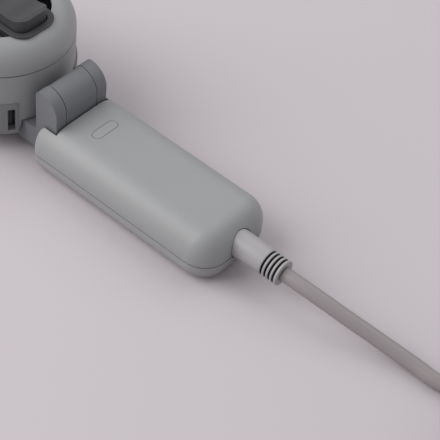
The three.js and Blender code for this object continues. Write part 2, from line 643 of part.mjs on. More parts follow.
const bezelOuter = pad([BEZEL.x, 0], [BEZEL.length, BEZEL.width], [HEAD_HEIGHT + 0.05, BEZEL.high], 7, 0);
const bezelInner = pad(
  [BEZEL.x, 0],
  [BEZEL.length - 3.4, BEZEL.width - 3.4],
  [BEZEL.low, HEAD_HEIGHT + 0.2],
  6,
  0,
);
let bezel = bezelOuter.add(bezelInner);
const VALVE = { start: -62, end: -18, half: 10, low: 27, high: 37 };
let valveBlock = block([VALVE.start, -VALVE.half, VALVE.low], [VALVE.end, VALVE.half, VALVE.high]);
const TRIGGER_TOP = HEAD_HEIGHT + TRIGGER_RISE;
const TRIGGER_LOW = 43.5;
const STEM = { radius: 1.5, low: 30 };
const SPRING = { inner: 2.4, outer: 3.6, low: VALVE.high + 0.1, high: TRIGGER_LOW - 0.1 };
for (const [name, x] of Object.entries(TRIGGERS)) {
  const well = TRIGGER_SIZE + 0.8;
  bezel = bezel.subtract(pad([x, 0], [well, well], [30, 60], 4.4, 0));
  valveBlock = valveBlock.subtract(rod('z', STEM.radius + 0.2, STEM.low - 5, 40, [x, 0, 0], 14));
  const dish = rod('y', 14, -10, 10, [x, 0, TRIGGER_TOP + 12.6], 28);
  const size = [TRIGGER_SIZE, TRIGGER_SIZE];
  const cap = pad([x, 0], size, [TRIGGER_LOW, TRIGGER_TOP], 4, 0.9).subtract(dish);
  piece(head, `${name}_trigger`, cap, 'trim');
  const stem = rod('z', STEM.radius, STEM.low, TRIGGER_LOW - 0.05, [x, 0, 0], 12);
  piece(head, `${name}_valve_stem`, stem, 'brass');
  const coil = [
    [SPRING.low, SPRING.inner],
    [SPRING.low, SPRING.outer],
    [SPRING.high, SPRING.outer],
    [SPRING.high, SPRING.inner],
  ];
  piece(head, `${name}_spring`, turned('z', coil, [x, 0, 0], 14), 'steel');
}
piece(head, 'trigger_bezel', bezel, 'trim');
piece(head, 'valve_block', valveBlock, 'silicone');

const wheelCentre = [DIAL.x, 0, DIAL.height];
let wheel = rod('y', DIAL.radius, -DIAL.half, DIAL.half, wheelCentre, 24);
const KNURLS = 12;
for (let k = 0; k < KNURLS; k += 1) {
  const angle = (2 * Math.PI * k) / KNURLS;
  const across = [
    DIAL.x + (DIAL.radius + 0.35) * Math.cos(angle),
    0,
    DIAL.height + (DIAL.radius + 0.35) * Math.sin(angle),
  ];
  wheel = wheel.subtract(rod('y', 0.9, -DIAL.half - 1, DIAL.half + 1, across, 6));
}
wheel = wheel.add(rod('y', 1.25, -DIAL.half - 1.9, DIAL.half + 1.9, wheelCentre, 12));
piece(head, 'speed_wheel', wheel, 'trim');

// ---- motor and pump ----

const MOTOR = { start: -50, radius: 10, height: 15.4 };
const motorAxis = [0, 0, MOTOR.height];
const motorCan = rod('x', MOTOR.radius, MOTOR.start, NECK_INSIDE - 1.2, motorAxis, 24);
const shaftBore = rod('x', 1.4, MOTOR.start - 1, MOTOR.start + 12, motorAxis, 12);
piece(head, 'motor', motorCan.subtract(shaftBore), 'steel');
const PUMP = { start: -82, end: -51, half: 11, low: 9.5, high: 24 };
const pumpBox = block([PUMP.start, -PUMP.half, PUMP.low], [PUMP.end, PUMP.half, PUMP.high]);
const pumpCavity = rod('x', 6, PUMP.end - 12, PUMP.end + 1, motorAxis, 20);
piece(head, 'pump_body', pumpBox.subtract(pumpCavity), 'trim');
const ECCENTRIC = { radius: 3.4, offset: 1.4, width: 5 };
const shaft = rod('x', 1.2, PUMP.end - 9, MOTOR.start + 11, motorAxis, 12);
const weightAxis = [0, 0, MOTOR.height + ECCENTRIC.offset];
const weightFrom = PUMP.end - 8;
const weightTo = weightFrom + ECCENTRIC.width;
const weight = rod('x', ECCENTRIC.radius, weightFrom, weightTo, weightAxis, 16);
piece(head, 'motor_rotor', weight.add(shaft), 'brass');

const hoses = {
  suction: [
    [-70, 6, PUMP.high + 0.2],
    [-70, 6.5, PUMP.high + 5],
    [-68, 7, VALVE.low + 5],
    [VALVE.start - 0.3, 7, VALVE.low + 6],
  ],
  blowout: [
    [-70, -6, PUMP.high + 0.2],
    [-70, -6.5, PUMP.high + 5],
    [-68, -7, VALVE.low + 5],
    [VALVE.start - 0.3, -7, VALVE.low + 6],
  ],
};
for (const [name, route] of Object.entries(hoses)) {
  const points = route.map((point) => new THREE.Vector3(...point));
  piece(head, `${name}_hose`, tube(points, 1.5, 8, 8), 'silicone');
}

// ---- nose ----

const noseAxis = [0, 0, NOSE_Z];
const COLLAR = { start: SNOUT_END + 6, end: SNOUT_END - 10 };
const collarProfile = [
  [COLLAR.start, COLLAR_RADIUS - 4],
  [COLLAR.start, spigotRadius],
  [SNOUT_END - SEAM, spigotRadius],
  [SNOUT_END - SEAM, COLLAR_RADIUS],
  [COLLAR.end + 0.8, COLLAR_RADIUS],
  [COLLAR.end, COLLAR_RADIUS - 0.8],
  [COLLAR.end, COLLAR_RADIUS - 4],
];
piece(head, 'nose_collar', turned('x', collarProfile, noseAxis, 24), 'hinge');

const CONE_BACK = COLLAR.end - SEAM;
const coneProfile = [
  [CONE_BACK + 6, COLLAR_RADIUS - 6],
  [CONE_BACK + 6, COLLAR_RADIUS - 4.3],
  [CONE_BACK, COLLAR_RADIUS - 4.3],
  [CONE_BACK, COLLAR_RADIUS - 0.4],
  [CONE_BACK - 4, COLLAR_RADIUS - 0.6],
  [CONE_BACK - 12, COLLAR_RADIUS - 2.4],
  [CONE_BACK - 20, COLLAR_RADIUS - 4.6],
  [NOSE_TIP + 1, COLLAR_RADIUS - 6],
  [NOSE_TIP, COLLAR_RADIUS - 7],
  [NOSE_TIP, 7.3],
  [CONE_BACK - 10, 7.3],
  [CONE_BACK - 9, COLLAR_RADIUS - 6],
];
piece(nose, 'nose_cone', turned('x', coneProfile, noseAxis, 24), 'shell');
const socketProfile = [
  [CONE_BACK - 9.5, SOCKET_BORE],
  [CONE_BACK - 9.5, 7],
  [NOSE_TIP - SEAM, 7],
  [NOSE_TIP - SEAM, 8.6],
  [SOCKET_TIP + 0.8, 8.2],
  [SOCKET_TIP, 7.2],
  [SOCKET_TIP, SOCKET_BORE + 1],
  [SOCKET_TIP + 1.2, SOCKET_BORE],
];
piece(nose, 'pipette_socket', turned('x', socketProfile, noseAxis, 20), 'silicone');
const filter = rod('x', 8.6, CONE_BACK - 7, CONE_BACK - 4, noseAxis, 24);
piece(nose, 'membrane_filter', filter, 'silicone');

// ---- lead: plug, cord, coil and adapter ----

const plugAxis = [0, 0, PLUG_Z];
const GROOVES = { count: 4, pitch: 1.87, width: 0.9, depth: 1.3, fromEnd: 7.6 };
const plugOutline = [[PLUG_START, 0], [PLUG_START, PLUG_BASE - 0.5], [PLUG_START + 0.5, PLUG_BASE]];
for (let k = 0; k < GROOVES.count; k += 1) {
  const from = PLUG_END - GROOVES.fromEnd + k * GROOVES.pitch;
  plugOutline.push([from, PLUG_RADIUS]);
  plugOutline.push([from, PLUG_RADIUS - GROOVES.depth]);
  plugOutline.push([from + GROOVES.width, PLUG_RADIUS - GROOVES.depth]);
  plugOutline.push([from + GROOVES.width, PLUG_RADIUS]);
}
plugOutline.push([PLUG_END - 0.4, PLUG_RADIUS], [PLUG_END, PLUG_RADIUS - 0.4], [PLUG_END, 0]);
const overmould = turned('x', plugOutline, plugAxis, 16);
piece(lead, 'plug_overmould', overmould, 'cord');
const COLLAR_END = PLUG_START - 2;
const PLUG_NECK = 5.2; // radius of the collar behind the plug
const plugCollar = rod('x', PLUG_NECK, COLLAR_END, PLUG_START - 0.05, plugAxis, 20);
piece(lead, 'plug_collar', plugCollar, 'rubber');
const plugBarrel = rod('x', 2.75, JACK.start + 3, COLLAR_END - 0.05, plugAxis, 16);
piece(lead, 'plug_barrel', plugBarrel, 'steel');

const CORD_REST = CORD_DIAMETER / 2 + 0.05;
const COIL_RISE = CORD_DIAMETER + 0.1; // from one layer of turns to the next
const COIL_CLEAR = 24; // how far before its tangent point the straight run meets the coil

// A point on a flat circle, by its angle in degrees from +X.
function onCircle(centre, radius, angle, height) {
  const turn = THREE.MathUtils.degToRad(angle);
  return [centre.x + radius * Math.cos(turn), centre.y + radius * Math.sin(turn), height];
}

const tangent = onCircle(COIL_CENTRE, COIL_OUTER, COIL_ENTRY, CORD_REST);
const heading = onCircle(new THREE.Vector3(), 1, COIL_ENTRY - 90, 0);
const cordRoute = [
  [PLUG_END + 0.4, 0, PLUG_Z],
  [PLUG_END + 3, 0.05, PLUG_Z],
  [PLUG_END + 10, 0.4, 11.48],
  [PLUG_END + 19, 1.3, 10.32],
  [PLUG_END + 28, 2.4, 8.74],
  [PLUG_END + 38.5, 4.0, 6.71],
  [PLUG_END + 48, 5.3, 4.99],
  [PLUG_END + 58, 6.3, 3.63],
  [PLUG_END + 68.6, 6.7, CORD_REST],
  [PLUG_END + 83, 11, CORD_REST],
  [tangent[0] - COIL_CLEAR * heading[0], tangent[1] - COIL_CLEAR * heading[1], CORD_REST],
].map((point) => new THREE.Vector3(...point));
piece(lead, 'cord_run', tube(cordRoute, CORD_DIAMETER / 2, 8, 12), 'cord');

const coilInner = COIL_OUTER - COIL_COLUMNS * CORD_DIAMETER - CORD_DIAMETER / 2;
const coilBand = [coilInner, COIL_OUTER + CORD_DIAMETER / 2];
const coilTop = COIL_LAYERS * COIL_RISE;
const coilProfile = [
  [0.05, coilBand[0]],
  [0.05, coilBand[1]],
  [coilTop, coilBand[1]],
  [coilTop, coilBand[0]],
];
piece(lead, 'cord_coil', turned('z', coilProfile, COIL_CENTRE.toArray(), 32), 'cord');

// The adapter lies across the coil, with its lead end towards +X and its pins towards the object.
const ADAPTER = { length: 46, width: 28, height: 19, face: 8, relief: 10, leadEnd: 5.4, above: 0.1 };
const BEND = 16.8; // radius of the lead's last bend, into the adapter
const BEND_FROM = 42; // degrees round the coil where that bend starts
const adapterZ = coilTop + ADAPTER.above + ADAPTER.height / 2;
const leadEnd = COIL_CENTRE.x + ADAPTER.leadEnd;
const bendStart = onCircle(COIL_CENTRE, COIL_OUTER - BEND, BEND_FROM, 0);
const bendCentre = new THREE.Vector3(...bendStart);
const tailRoute = [
  onCircle(COIL_CENTRE, COIL_OUTER, 97, 15.5),
  onCircle(COIL_CENTRE, COIL_OUTER, 80, 15.9),
  onCircle(COIL_CENTRE, COIL_OUTER, 61, 17),
  onCircle(COIL_CENTRE, COIL_OUTER, BEND_FROM, 18.6),
  onCircle(bendCentre, BEND, 9, 19.8),
  onCircle(bendCentre, BEND, -24, 20.8),
  onCircle(bendCentre, BEND, -57, 21.5),
  onCircle(bendCentre, BEND, -90, adapterZ),
  [leadEnd + ADAPTER.relief + SEAM, COIL_CENTRE.y, adapterZ],
].map((point) => new THREE.Vector3(...point));
piece(lead, 'cord_tail', tube(tailRoute, CORD_DIAMETER / 2, 8, 12), 'cord');

const adapterCentre = [leadEnd, COIL_CENTRE.y, adapterZ];
// The adapter is drawn standing on its lead end, then laid down along -X.
function laidDown(upright) {
  return upright.rotate([0, -90, 0]).translate(adapterCentre);
}
const adapterSize = [ADAPTER.height, ADAPTER.width];
const faceStart = ADAPTER.length - ADAPTER.face;
const caseBody = laidDown(pad([0, 0], adapterSize, [0, faceStart - SEAM], 4, 0.8));
const relief = rod('x', CORD_DIAMETER / 2 + 1, -1, ADAPTER.relief, adapterCentre, 14);
piece(lead, 'adapter_case', caseBody.add(relief), 'trim');
const adapterFace = laidDown(pad([0, 0], adapterSize, [faceStart, ADAPTER.length], 4, 0.8));
piece(lead, 'adapter_face', adapterFace, 'trim');
const PIN = { radius: 2, length: 16, half: 9 };
for (const [side, sign] of [['left', 1], ['right', -1]]) {
  const root = leadEnd - ADAPTER.length - 0.05;
  const across = [0, COIL_CENTRE.y + sign * PIN.half, adapterZ];
  const pin = rod('x', PIN.radius, root - PIN.length, root, across, 12);
  piece(lead, `adapter_pin_${side}`, pin, 'steel');
}

export default model;
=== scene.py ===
import math
import bmesh
import bpy
from mathutils import Matrix, Vector


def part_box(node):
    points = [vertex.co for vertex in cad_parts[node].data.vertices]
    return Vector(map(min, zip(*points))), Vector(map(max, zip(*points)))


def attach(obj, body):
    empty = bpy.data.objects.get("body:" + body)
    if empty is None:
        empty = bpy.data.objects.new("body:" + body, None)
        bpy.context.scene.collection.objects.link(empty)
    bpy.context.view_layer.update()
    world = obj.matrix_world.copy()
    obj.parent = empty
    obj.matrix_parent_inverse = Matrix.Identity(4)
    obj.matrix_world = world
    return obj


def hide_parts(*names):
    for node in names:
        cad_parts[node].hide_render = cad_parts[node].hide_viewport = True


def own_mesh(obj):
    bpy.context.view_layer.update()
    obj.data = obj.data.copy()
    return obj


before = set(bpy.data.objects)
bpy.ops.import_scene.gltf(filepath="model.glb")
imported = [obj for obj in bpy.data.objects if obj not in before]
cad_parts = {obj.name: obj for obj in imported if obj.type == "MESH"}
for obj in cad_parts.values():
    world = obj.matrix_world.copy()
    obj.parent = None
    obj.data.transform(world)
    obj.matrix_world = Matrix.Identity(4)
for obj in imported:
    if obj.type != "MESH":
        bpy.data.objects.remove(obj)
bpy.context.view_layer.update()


# ---- Bench, camera and studio light ----
# The controller lies on a plain pale bench top, under a large soft box on the near left,
# a weaker one behind it and an even white surround, as small goods are lit for a catalogue.

MM = 0.001
GRIP_LENGTH = 89.6
hinge_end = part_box("grip_lower_shell")[1].x - GRIP_LENGTH * MM


def at(x, y, z):
    """A point in millimetres from the grip's hinge end, its middle and the bench."""
    return Vector((hinge_end + x * MM, y * MM, z * MM))


azimuth, elevation, roll = (math.radians(a) for a in (34.05, 47.26, 8.46))
across = Vector((math.cos(azimuth), math.sin(azimuth), 0))
backward = Vector(
    (
        math.sin(azimuth) * math.cos(elevation),
        -math.cos(azimuth) * math.cos(elevation),
        math.sin(elevation),
    )
)
upward = backward.cross(across)
right = across * math.cos(roll) + upward * math.sin(roll)
top = upward * math.cos(roll) - across * math.sin(roll)

lens = bpy.data.cameras.new("studio_camera")
lens.sensor_width = 36
lens.lens = 114.5
lens.clip_start = 0.05
camera = bpy.data.objects.new("studio_camera", lens)
bpy.context.scene.collection.objects.link(camera)
turn = Matrix((right, top, backward)).transposed().to_4x4()
camera.matrix_world = Matrix.Translation(at(279.2, -297.4, 405.0)) @ turn
bpy.context.scene.camera = camera

BENCH_SIZE = 6.0
bench_mesh = bpy.data.meshes.new("bench_top")
half = BENCH_SIZE / 2
bench_mesh.from_pydata(
    [(-half, -half, 0), (half, -half, 0), (half, half, 0), (-half, half, 0)],
    [],
    [(0, 1, 2, 3)],
)
bench = bpy.data.objects.new("bench_top", bench_mesh)
bpy.context.scene.collection.objects.link(bench)
bench_finish = bpy.data.materials.new("bench_laminate")
bench_finish.use_nodes = True
bench_shader = bench_finish.node_tree.nodes["Principled BSDF"]
bench_shader.inputs["Base Color"].default_value = (0.543, 0.5, 0.525, 1)
bench_shader.inputs["Roughness"].default_value = 0.7
bench_shader.inputs["Specular IOR Level"].default_value = 0.2
bench_mesh.materials.append(bench_finish)


def soft_box(name, place, aim, size, power, colour):
    """A square area light that faces a point on the object."""
    lamp = bpy.data.lights.new(name, "AREA")
    lamp.shape = "RECTANGLE"
    lamp.size, lamp.size_y = size
    lamp.energy = power
    lamp.color = colour
    holder = bpy.data.objects.new(name, lamp)
    bpy.context.scene.collection.objects.link(holder)
    holder.location = place
    holder.rotation_euler = (place - aim).to_track_quat("Z", "Y").to_euler()


middle = at(30, 0, 15)
soft_box("key_box", at(-760, -640, 760), middle, (1.1, 1.1), 14.5, (1, 0.995, 0.99))
soft_box("back_box", at(150, 800, 1000), middle, (1.2, 1.2), 4.5, (1, 0.99, 0.995))

surround = bpy.data.worlds.new("white_surround")
surround.use_nodes = True
surround.node_tree.nodes["Background"].inputs["Color"].default_value = (0.98, 0.99, 1, 1)
surround.node_tree.nodes["Background"].inputs["Strength"].default_value = 0.5
bpy.context.scene.world = surround
bpy.context.scene.view_settings.view_transform = "Standard"


# ---- Power lead ----
# A round PVC lead, 6 mm across, leaves the plug, drops to the bench and runs on to where
# the rest of its 1.5 m is wound in two flat layers of three turns, under the adapter.

LEAD = 6.0
REST = LEAD / 2 + 0.05
PLUG_END = 110.1
COIL = Vector((248, 4, 0))
COIL_ENTRY = 135.0
COIL_CLEAR = 24
COIL_NEAR = 10
OUTER_TURN = 42.0
LAYER_RISE = LEAD + 0.1
TURNS = 3
POINTS_PER_TURN = 24
BEND = 16.8
BEND_FROM = 42.0
ADAPTER_START = COIL.x + 5.4
ADAPTER_HEIGHT = 19.0
ADAPTER_AXIS = 2 * LAYER_RISE + 0.1 + ADAPTER_HEIGHT / 2
RELIEF = 10.0


def on_circle(centre, radius, degrees, height):
    """A point on a level circle, by its angle from +X."""
    a = math.radians(degrees)
    return (centre.x + radius * math.cos(a), centre.y + radius * math.sin(a), height)


tangent = on_circle(COIL, OUTER_TURN, COIL_ENTRY, REST)
heading = on_circle(Vector(), 1, COIL_ENTRY - 90, 0)
# The rows from PLUG_END + 10 to PLUG_END + 68.6 were solved by a program, not chosen by hand.
lead_run = [
    (PLUG_END + 0.4, 0, 12),
    (PLUG_END + 3, 0.05, 12),
    (PLUG_END + 10, 0.4, 11.48),
    (PLUG_END + 19, 1.3, 10.32),
    (PLUG_END + 28, 2.4, 8.74),
    (PLUG_END + 38.5, 4.0, 6.71),
    (PLUG_END + 48, 5.3, 4.99),
    (PLUG_END + 58, 6.3, 3.63),
    (PLUG_END + 68.6, 6.7, REST),
    (PLUG_END + 83, 11, REST),
    (tangent[0] - COIL_CLEAR * heading[0], tangent[1] - COIL_CLEAR * heading[1], REST),
    (tangent[0] - COIL_NEAR * heading[0], tangent[1] - COIL_NEAR * heading[1], REST),
]
coil_route = []
for step in range(2 * TURNS * POINTS_PER_TURN + 1):
    wound = step / POINTS_PER_TURN
    inward = min(wound, TURNS)
    outward = max(wound - TURNS, 0)
    radius = OUTER_TURN - LEAD * (inward - outward)
    climb = min(max((wound - TURNS + 0.3) / 0.3, 0), 1)
    height = REST + LAYER_RISE * climb * climb * (3 - 2 * climb)
    coil_route.append(on_circle(COIL, radius, COIL_ENTRY - 360 * wound, height))
bend_centre = Vector(on_circle(COIL, OUTER_TURN - BEND, BEND_FROM, 0))
lead_tail = [
    on_circle(COIL, OUTER_TURN, 116, 12.6),
    on_circle(COIL, OUTER_TURN, 97, 15.3),
    on_circle(COIL, OUTER_TURN, 80, 15.9),
    on_circle(COIL, OUTER_TURN, 61, 17),
    on_circle(COIL, OUTER_TURN, BEND_FROM, 18.6),
    on_circle(bend_centre, BEND, 9, 19.8),
    on_circle(bend_centre, BEND, -24, 20.8),
    on_circle(bend_centre, BEND, -57, 21.5),
    on_circle(bend_centre, BEND, -90, ADAPTER_AXIS),
    (ADAPTER_START + RELIEF + 0.3, COIL.y, ADAPTER_AXIS),
]
route = [at(*point) for point in lead_run + coil_route + lead_tail]


def through(points, spacing):
    """A smooth line through points, at about even spacing, by Catmull-Rom arcs."""
    line = []
    ends = [2 * points[0] - points[1]] + points + [2 * points[-1] - points[-2]]
    for p0, p1, p2, p3 in zip(ends, ends[1:], ends[2:], ends[3:]):
        steps = max(1, round((p2 - p1).length / spacing))
        for k in range(steps):
            t = k / steps
            line.append(
                0.5
                * (
                    2 * p1
                    + (p2 - p0) * t
                    + (2 * p0 - 5 * p1 + 4 * p2 - p3) * t * t
                    + (3 * p1 - p0 - 3 * p2 + p3) * t * t * t
                )
            )
    return line + [points[-1].copy()]


def shown(name, mesh, body, finish, *stands_for, slot=None):
    """Links a finished mesh, gives it its material and body, and hides the parts it stands for."""
    piece = bpy.data.objects.new(name, mesh)
    bpy.context.scene.collection.objects.link(piece)
    mesh.materials.clear()
    mesh.materials.append(finish)
    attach(piece, body)
    if stands_for:
        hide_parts(*stands_for)
    return piece


def tube(name, line, radius, sides=16):
    """A closed round tube along a line of points, with flat ends."""
    form = bmesh.new()
    heading = (line[1] - line[0]).normalized()
    side = heading.orthogonal().normalized()
    rings = []
    for k, point in enumerate(line):
        ahead = line[min(k + 1, len(line) - 1)] - line[max(k - 1, 0)]
        ahead.normalize()
        side = (heading.rotation_difference(ahead) @ side).normalized()
        side = (side - ahead * side.dot(ahead)).normalized()
        heading = ahead
        other = ahead.cross(side)
        ring = []
        for j in range(sides):
            a = 2 * math.pi * j / sides
            ring.append(
                form.verts.new(point + radius * (side * math.cos(a) + other * math.sin(a)))
            )
        rings.append(ring)
    for lower, upper in zip(rings, rings[1:]):
        for j in range(sides):
            n = (j + 1) % sides
            form.faces.new((lower[j], lower[n], upper[n], upper[j]))
    form.faces.new(list(reversed(rings[0])))
    form.faces.new(rings[-1])
    return meshed(name, form)


def meshed(name, form, crease=40):
    """Turns an edit mesh into a mesh with outward faces, smooth except at creases."""
    bmesh.ops.recalc_face_normals(form, faces=form.faces)
    for face in form.faces:
        face.smooth = True
    for edge in form.edges:
        edge.smooth = edge.is_manifold and edge.calc_face_angle() < math.radians(crease)
    mesh = bpy.data.meshes.new(name)
    form.to_mesh(mesh)
    form.free()
    return mesh


def moulded(name, colour, roughness, grain, depth, cloud=0.04, **sockets):
    """A moulded or cast finish: a fine surface grain, and faint clouds of shade and gloss."""
    finish = bpy.data.materials.new(name)
    finish.use_nodes = True
    nodes, links = finish.node_tree.nodes, finish.node_tree.links
    shader = nodes["Principled BSDF"]
    place = nodes.new("ShaderNodeTexCoord")
    clouds = nodes.new("ShaderNodeTexNoise")
    clouds.inputs["Scale"].default_value = 34
    clouds.inputs["Detail"].default_value = 4
    links.new(place.outputs["Object"], clouds.inputs["Vector"])
    shade = nodes.new("ShaderNodeMix")
    shade.data_type = "RGBA"
    low, high = (tuple(c * (1 + s * cloud) for c in colour) + (1,) for s in (-1, 1))
    shade.inputs["A"].default_value = low
    shade.inputs["B"].default_value = high
    links.new(clouds.outputs["Fac"], shade.inputs["Factor"])
    links.new(shade.outputs["Result"], shader.inputs["Base Color"])
    gloss = nodes.new("ShaderNodeMapRange")
    gloss.inputs["To Min"].default_value = roughness - 0.05
    gloss.inputs["To Max"].default_value = roughness + 0.05
    links.new(clouds.outputs["Fac"], gloss.inputs["Value"])
    links.new(gloss.outputs["Result"], shader.inputs["Roughness"])
    pitted = nodes.new("ShaderNodeTexNoise")
    pitted.inputs["Scale"].default_value = 1 / (grain * MM)
    pitted.inputs["Detail"].default_value = 3
    links.new(place.outputs["Object"], pitted.inputs["Vector"])
    bump = nodes.new("ShaderNodeBump")
    bump.inputs["Strength"].default_value = 0.35
    bump.inputs["Distance"].default_value = depth * MM
    links.new(pitted.outputs["Fac"], bump.inputs["Height"])
    links.new(bump.outputs["Normal"], shader.inputs["Normal"])
    for socket, value in sockets.items():
        shader.inputs[socket.replace("_", " ")].default_value = value
    return finish


lead_sheath = moulded("lead_pvc", (0.275, 0.245, 0.25), 0.42, 0.9, 0.03)
lead_line = through(route, 2.2 * MM)
power_lead = shown(
    "power_lead",
    tube("power_lead", lead_line, LEAD / 2 * MM),
    "grip",
    lead_sheath,
    "cord_run",
    "cord_coil",
    "cord_tail",
    slot="cord",
)


# ---- Plug ----
# The plug's grip is moulded straight onto the lead in the same PVC. Four grooves near its
# cord end let it flex, and a black collar and a nickel barrel enter the power socket.

PLUG_START = GRIP_LENGTH - 2.8
PLUG_BASE = 5.8
PLUG_RADIUS = 5.35
PLUG_AXIS = 12.0
GROOVES = 4
GROOVE_PITCH = 1.87
GROOVE_WIDTH = 0.95
GROOVE_DEPTH = 1.35
LAST_GROOVES = 7.6


def rounded(profile, radius, steps=3):
    """A profile with each inner corner replaced by a short curve."""
    out = [Vector(profile[0])]
    for before, corner, after in zip(profile, profile[1:], profile[2:]):
        before, corner, after = Vector(before), Vector(corner), Vector(after)
        reach = min(radius, (before - corner).length / 2.05, (after - corner).length / 2.05)
        start = corner + (before - corner).normalized() * reach
        end = corner + (after - corner).normalized() * reach
        for k in range(steps + 1):
            t = k / steps
            out.append(start.lerp(corner, t).lerp(corner.lerp(end, t), t))
    return out + [Vector(profile[-1])]


def turned(name, profile, centre, axis="x", sides=48, closed=False):
    """A turned piece. The profile's points are (station, radius) along an axis through centre."""
    form = bmesh.new()
    rings = []
    for station, radius in profile:
        ring = []
        for j in range(sides if radius > 1e-6 else 1):
            a = 2 * math.pi * j / sides
            u, v = radius * math.cos(a), radius * math.sin(a)
            place = {"x": (station, u, v), "y": (u, station, v), "z": (u, v, station)}[axis]
            ring.append(form.verts.new(centre + Vector(place) * MM))
        rings.append(ring)
    pairs = list(zip(rings, rings[1:]))
    if closed:
        pairs.append((rings[-1], rings[0]))
    for lower, upper in pairs:
        for j in range(sides):
            n = (j + 1) % sides
            corners = [lower[j % len(lower)], lower[n % len(lower)]]
            corners += [upper[n % len(upper)], upper[j % len(upper)]]
            corners = list(dict.fromkeys(corners))
            if len(corners) > 2:
                form.faces.new(corners)
    return meshed(name, form)


plug_centre = at(0, 0, PLUG_AXIS)
plug_profile = [(PLUG_START, 0), (PLUG_START, PLUG_BASE - 0.5), (PLUG_START + 0.6, PLUG_BASE)]
for k in range(GROOVES):
    groove = PLUG_END - LAST_GROOVES + k * GROOVE_PITCH
    plug_profile += [
        (groove, PLUG_RADIUS),
        (groove + 0.08, PLUG_RADIUS - GROOVE_DEPTH),
        (groove + GROOVE_WIDTH - 0.08, PLUG_RADIUS - GROOVE_DEPTH),
        (groove + GROOVE_WIDTH, PLUG_RADIUS),
    ]
plug_profile += [(PLUG_END, PLUG_RADIUS), (PLUG_END, LEAD / 2 + 0.2), (PLUG_END - 1, 0)]
plug_pvc = moulded("plug_pvc", (0.365, 0.352, 0.362), 0.4, 0.7, 0.03)
plug_mesh = turned("plug_grip", rounded(plug_profile, 0.3), plug_centre, sides=64)
plug_grip = shown("plug_grip", plug_mesh, "grip", plug_pvc, "plug_overmould", slot="cord")
groove_dark = moulded("groove_shadow_pvc", (0.028, 0.027, 0.028), 0.6, 0.7, 0.02)
plug_grip.data.materials.append(groove_dark)
for face in plug_grip.data.polygons:
    from_axis = (face.center - plug_centre) * Vector((0, 1, 1))
    along = (face.center - plug_centre).x / MM
    if from_axis.length < (PLUG_RADIUS - 0.5) * MM and PLUG_START + 4 < along < PLUG_END - 0.6:
        face.material_index = 1

collar_rubber = moulded("socket_black", (0.018, 0.018, 0.02), 0.45, 0.6, 0.02)
collar_profile = [
    (PLUG_START - 2, 0),
    (PLUG_START - 2, 5.15),
    (PLUG_START - 0.1, 5.15),
    (PLUG_START - 0.1, 0),
]
collar_mesh = turned("plug_neck", rounded(collar_profile, 0.15), plug_centre)
plug_neck = shown("plug_neck", collar_mesh, "grip", collar_rubber, "plug_collar", slot="rubber")


# ---- Mains adapter ----
# A small plug-top adapter of two black shells, welded round a step in their rims, with
# round nickel pins and a tapered strain relief on its lead. It lies across the coil.

ADAPTER_LENGTH = 46.0
ADAPTER_WIDTH = 28.0
ADAPTER_FACE = 8.0
PIN_SPREAD = 9.0


def rounded_box(name, low, high, radius, segments=4):
    """A box in millimetres from the grip's hinge end, with every edge rounded."""
    form = bmesh.new()
    bmesh.ops.create_cube(form, size=1)
    low, high = at(*low), at(*high)
    for vert in form.verts:
        vert.co = Vector(high[i] if vert.co[i] > 0 else low[i] for i in range(3))
    bmesh.ops.bevel(
        form,
        geom=form.edges[:],
        offset=radius * MM,
        segments=segments,
        profile=0.5,
        affect="EDGES",
    )
    return meshed(name, form)


adapter_plastic = moulded("adapter_black", (0.035, 0.035, 0.038), 0.5, 0.45, 0.04)
adapter_sides = [COIL.y - ADAPTER_WIDTH / 2, COIL.y + ADAPTER_WIDTH / 2]
adapter_base = ADAPTER_AXIS - ADAPTER_HEIGHT / 2
adapter_top = ADAPTER_AXIS + ADAPTER_HEIGHT / 2
adapter_split = ADAPTER_START - ADAPTER_LENGTH + ADAPTER_FACE
case_low = (adapter_split + 0.3, adapter_sides[0], adapter_base)
case_high = (ADAPTER_START, adapter_sides[1], adapter_top)
relief_profile = [
    (ADAPTER_START - 0.5, 0),
    (ADAPTER_START - 0.5, 4),
    (ADAPTER_START + RELIEF, 3.2),
    (ADAPTER_START + RELIEF, 0),
]
relief_centre = at(0, COIL.y, ADAPTER_AXIS)
case_form = bmesh.new()
case_form.from_mesh(rounded_box("adapter_shell", case_low, case_high, 2.4))
case_form.from_mesh(turned("adapter_relief", rounded(relief_profile, 0.4), relief_centre))
adapter_shell = shown(
    "adapter_shell",
    meshed("adapter_shell", case_form),
    "grip",
    adapter_plastic,
    "adapter_case",
    slot="trim",
)
face_low = (ADAPTER_START - ADAPTER_LENGTH, adapter_sides[0], adapter_base)
face_high = (adapter_split, adapter_sides[1], adapter_top)
adapter_front = shown(
    "adapter_front",
    rounded_box("adapter_front", face_low, face_high, 2.4),
    "grip",
    adapter_plastic,
    "adapter_face",
    slot="trim",
)
nickel = moulded("nickel_plate", (0.62, 0.61, 0.58), 0.28, 0.3, 0.01, Metallic=1.0)
for side, sign in (("left", 1), ("right", -1)):
    root = ADAPTER_START - ADAPTER_LENGTH - 0.05
    pin_profile = [
        (root, 0),
        (root, 1.9),
        (root - 9, 1.9),
        (root - 9, 2),
        (root - 14.4, 2),
        (root - 16, 1),
        (root - 16, 0),
    ]
    pin_centre = at(0, COIL.y + sign * PIN_SPREAD, ADAPTER_AXIS)
    pin_mesh = turned(f"mains_pin_{side}", rounded(pin_profile, 0.5), pin_centre, sides=32)
    shown(f"mains_pin_{side}", pin_mesh, "grip", nickel, f"adapter_pin_{side}", slot="steel")


# ---- Grip shells ----
# Two injection-moulded shells meet in a stepped seam at about a third of the height. Their
# edges are rounded far more along the sides than at the hinge, and a notch holds the hinge.

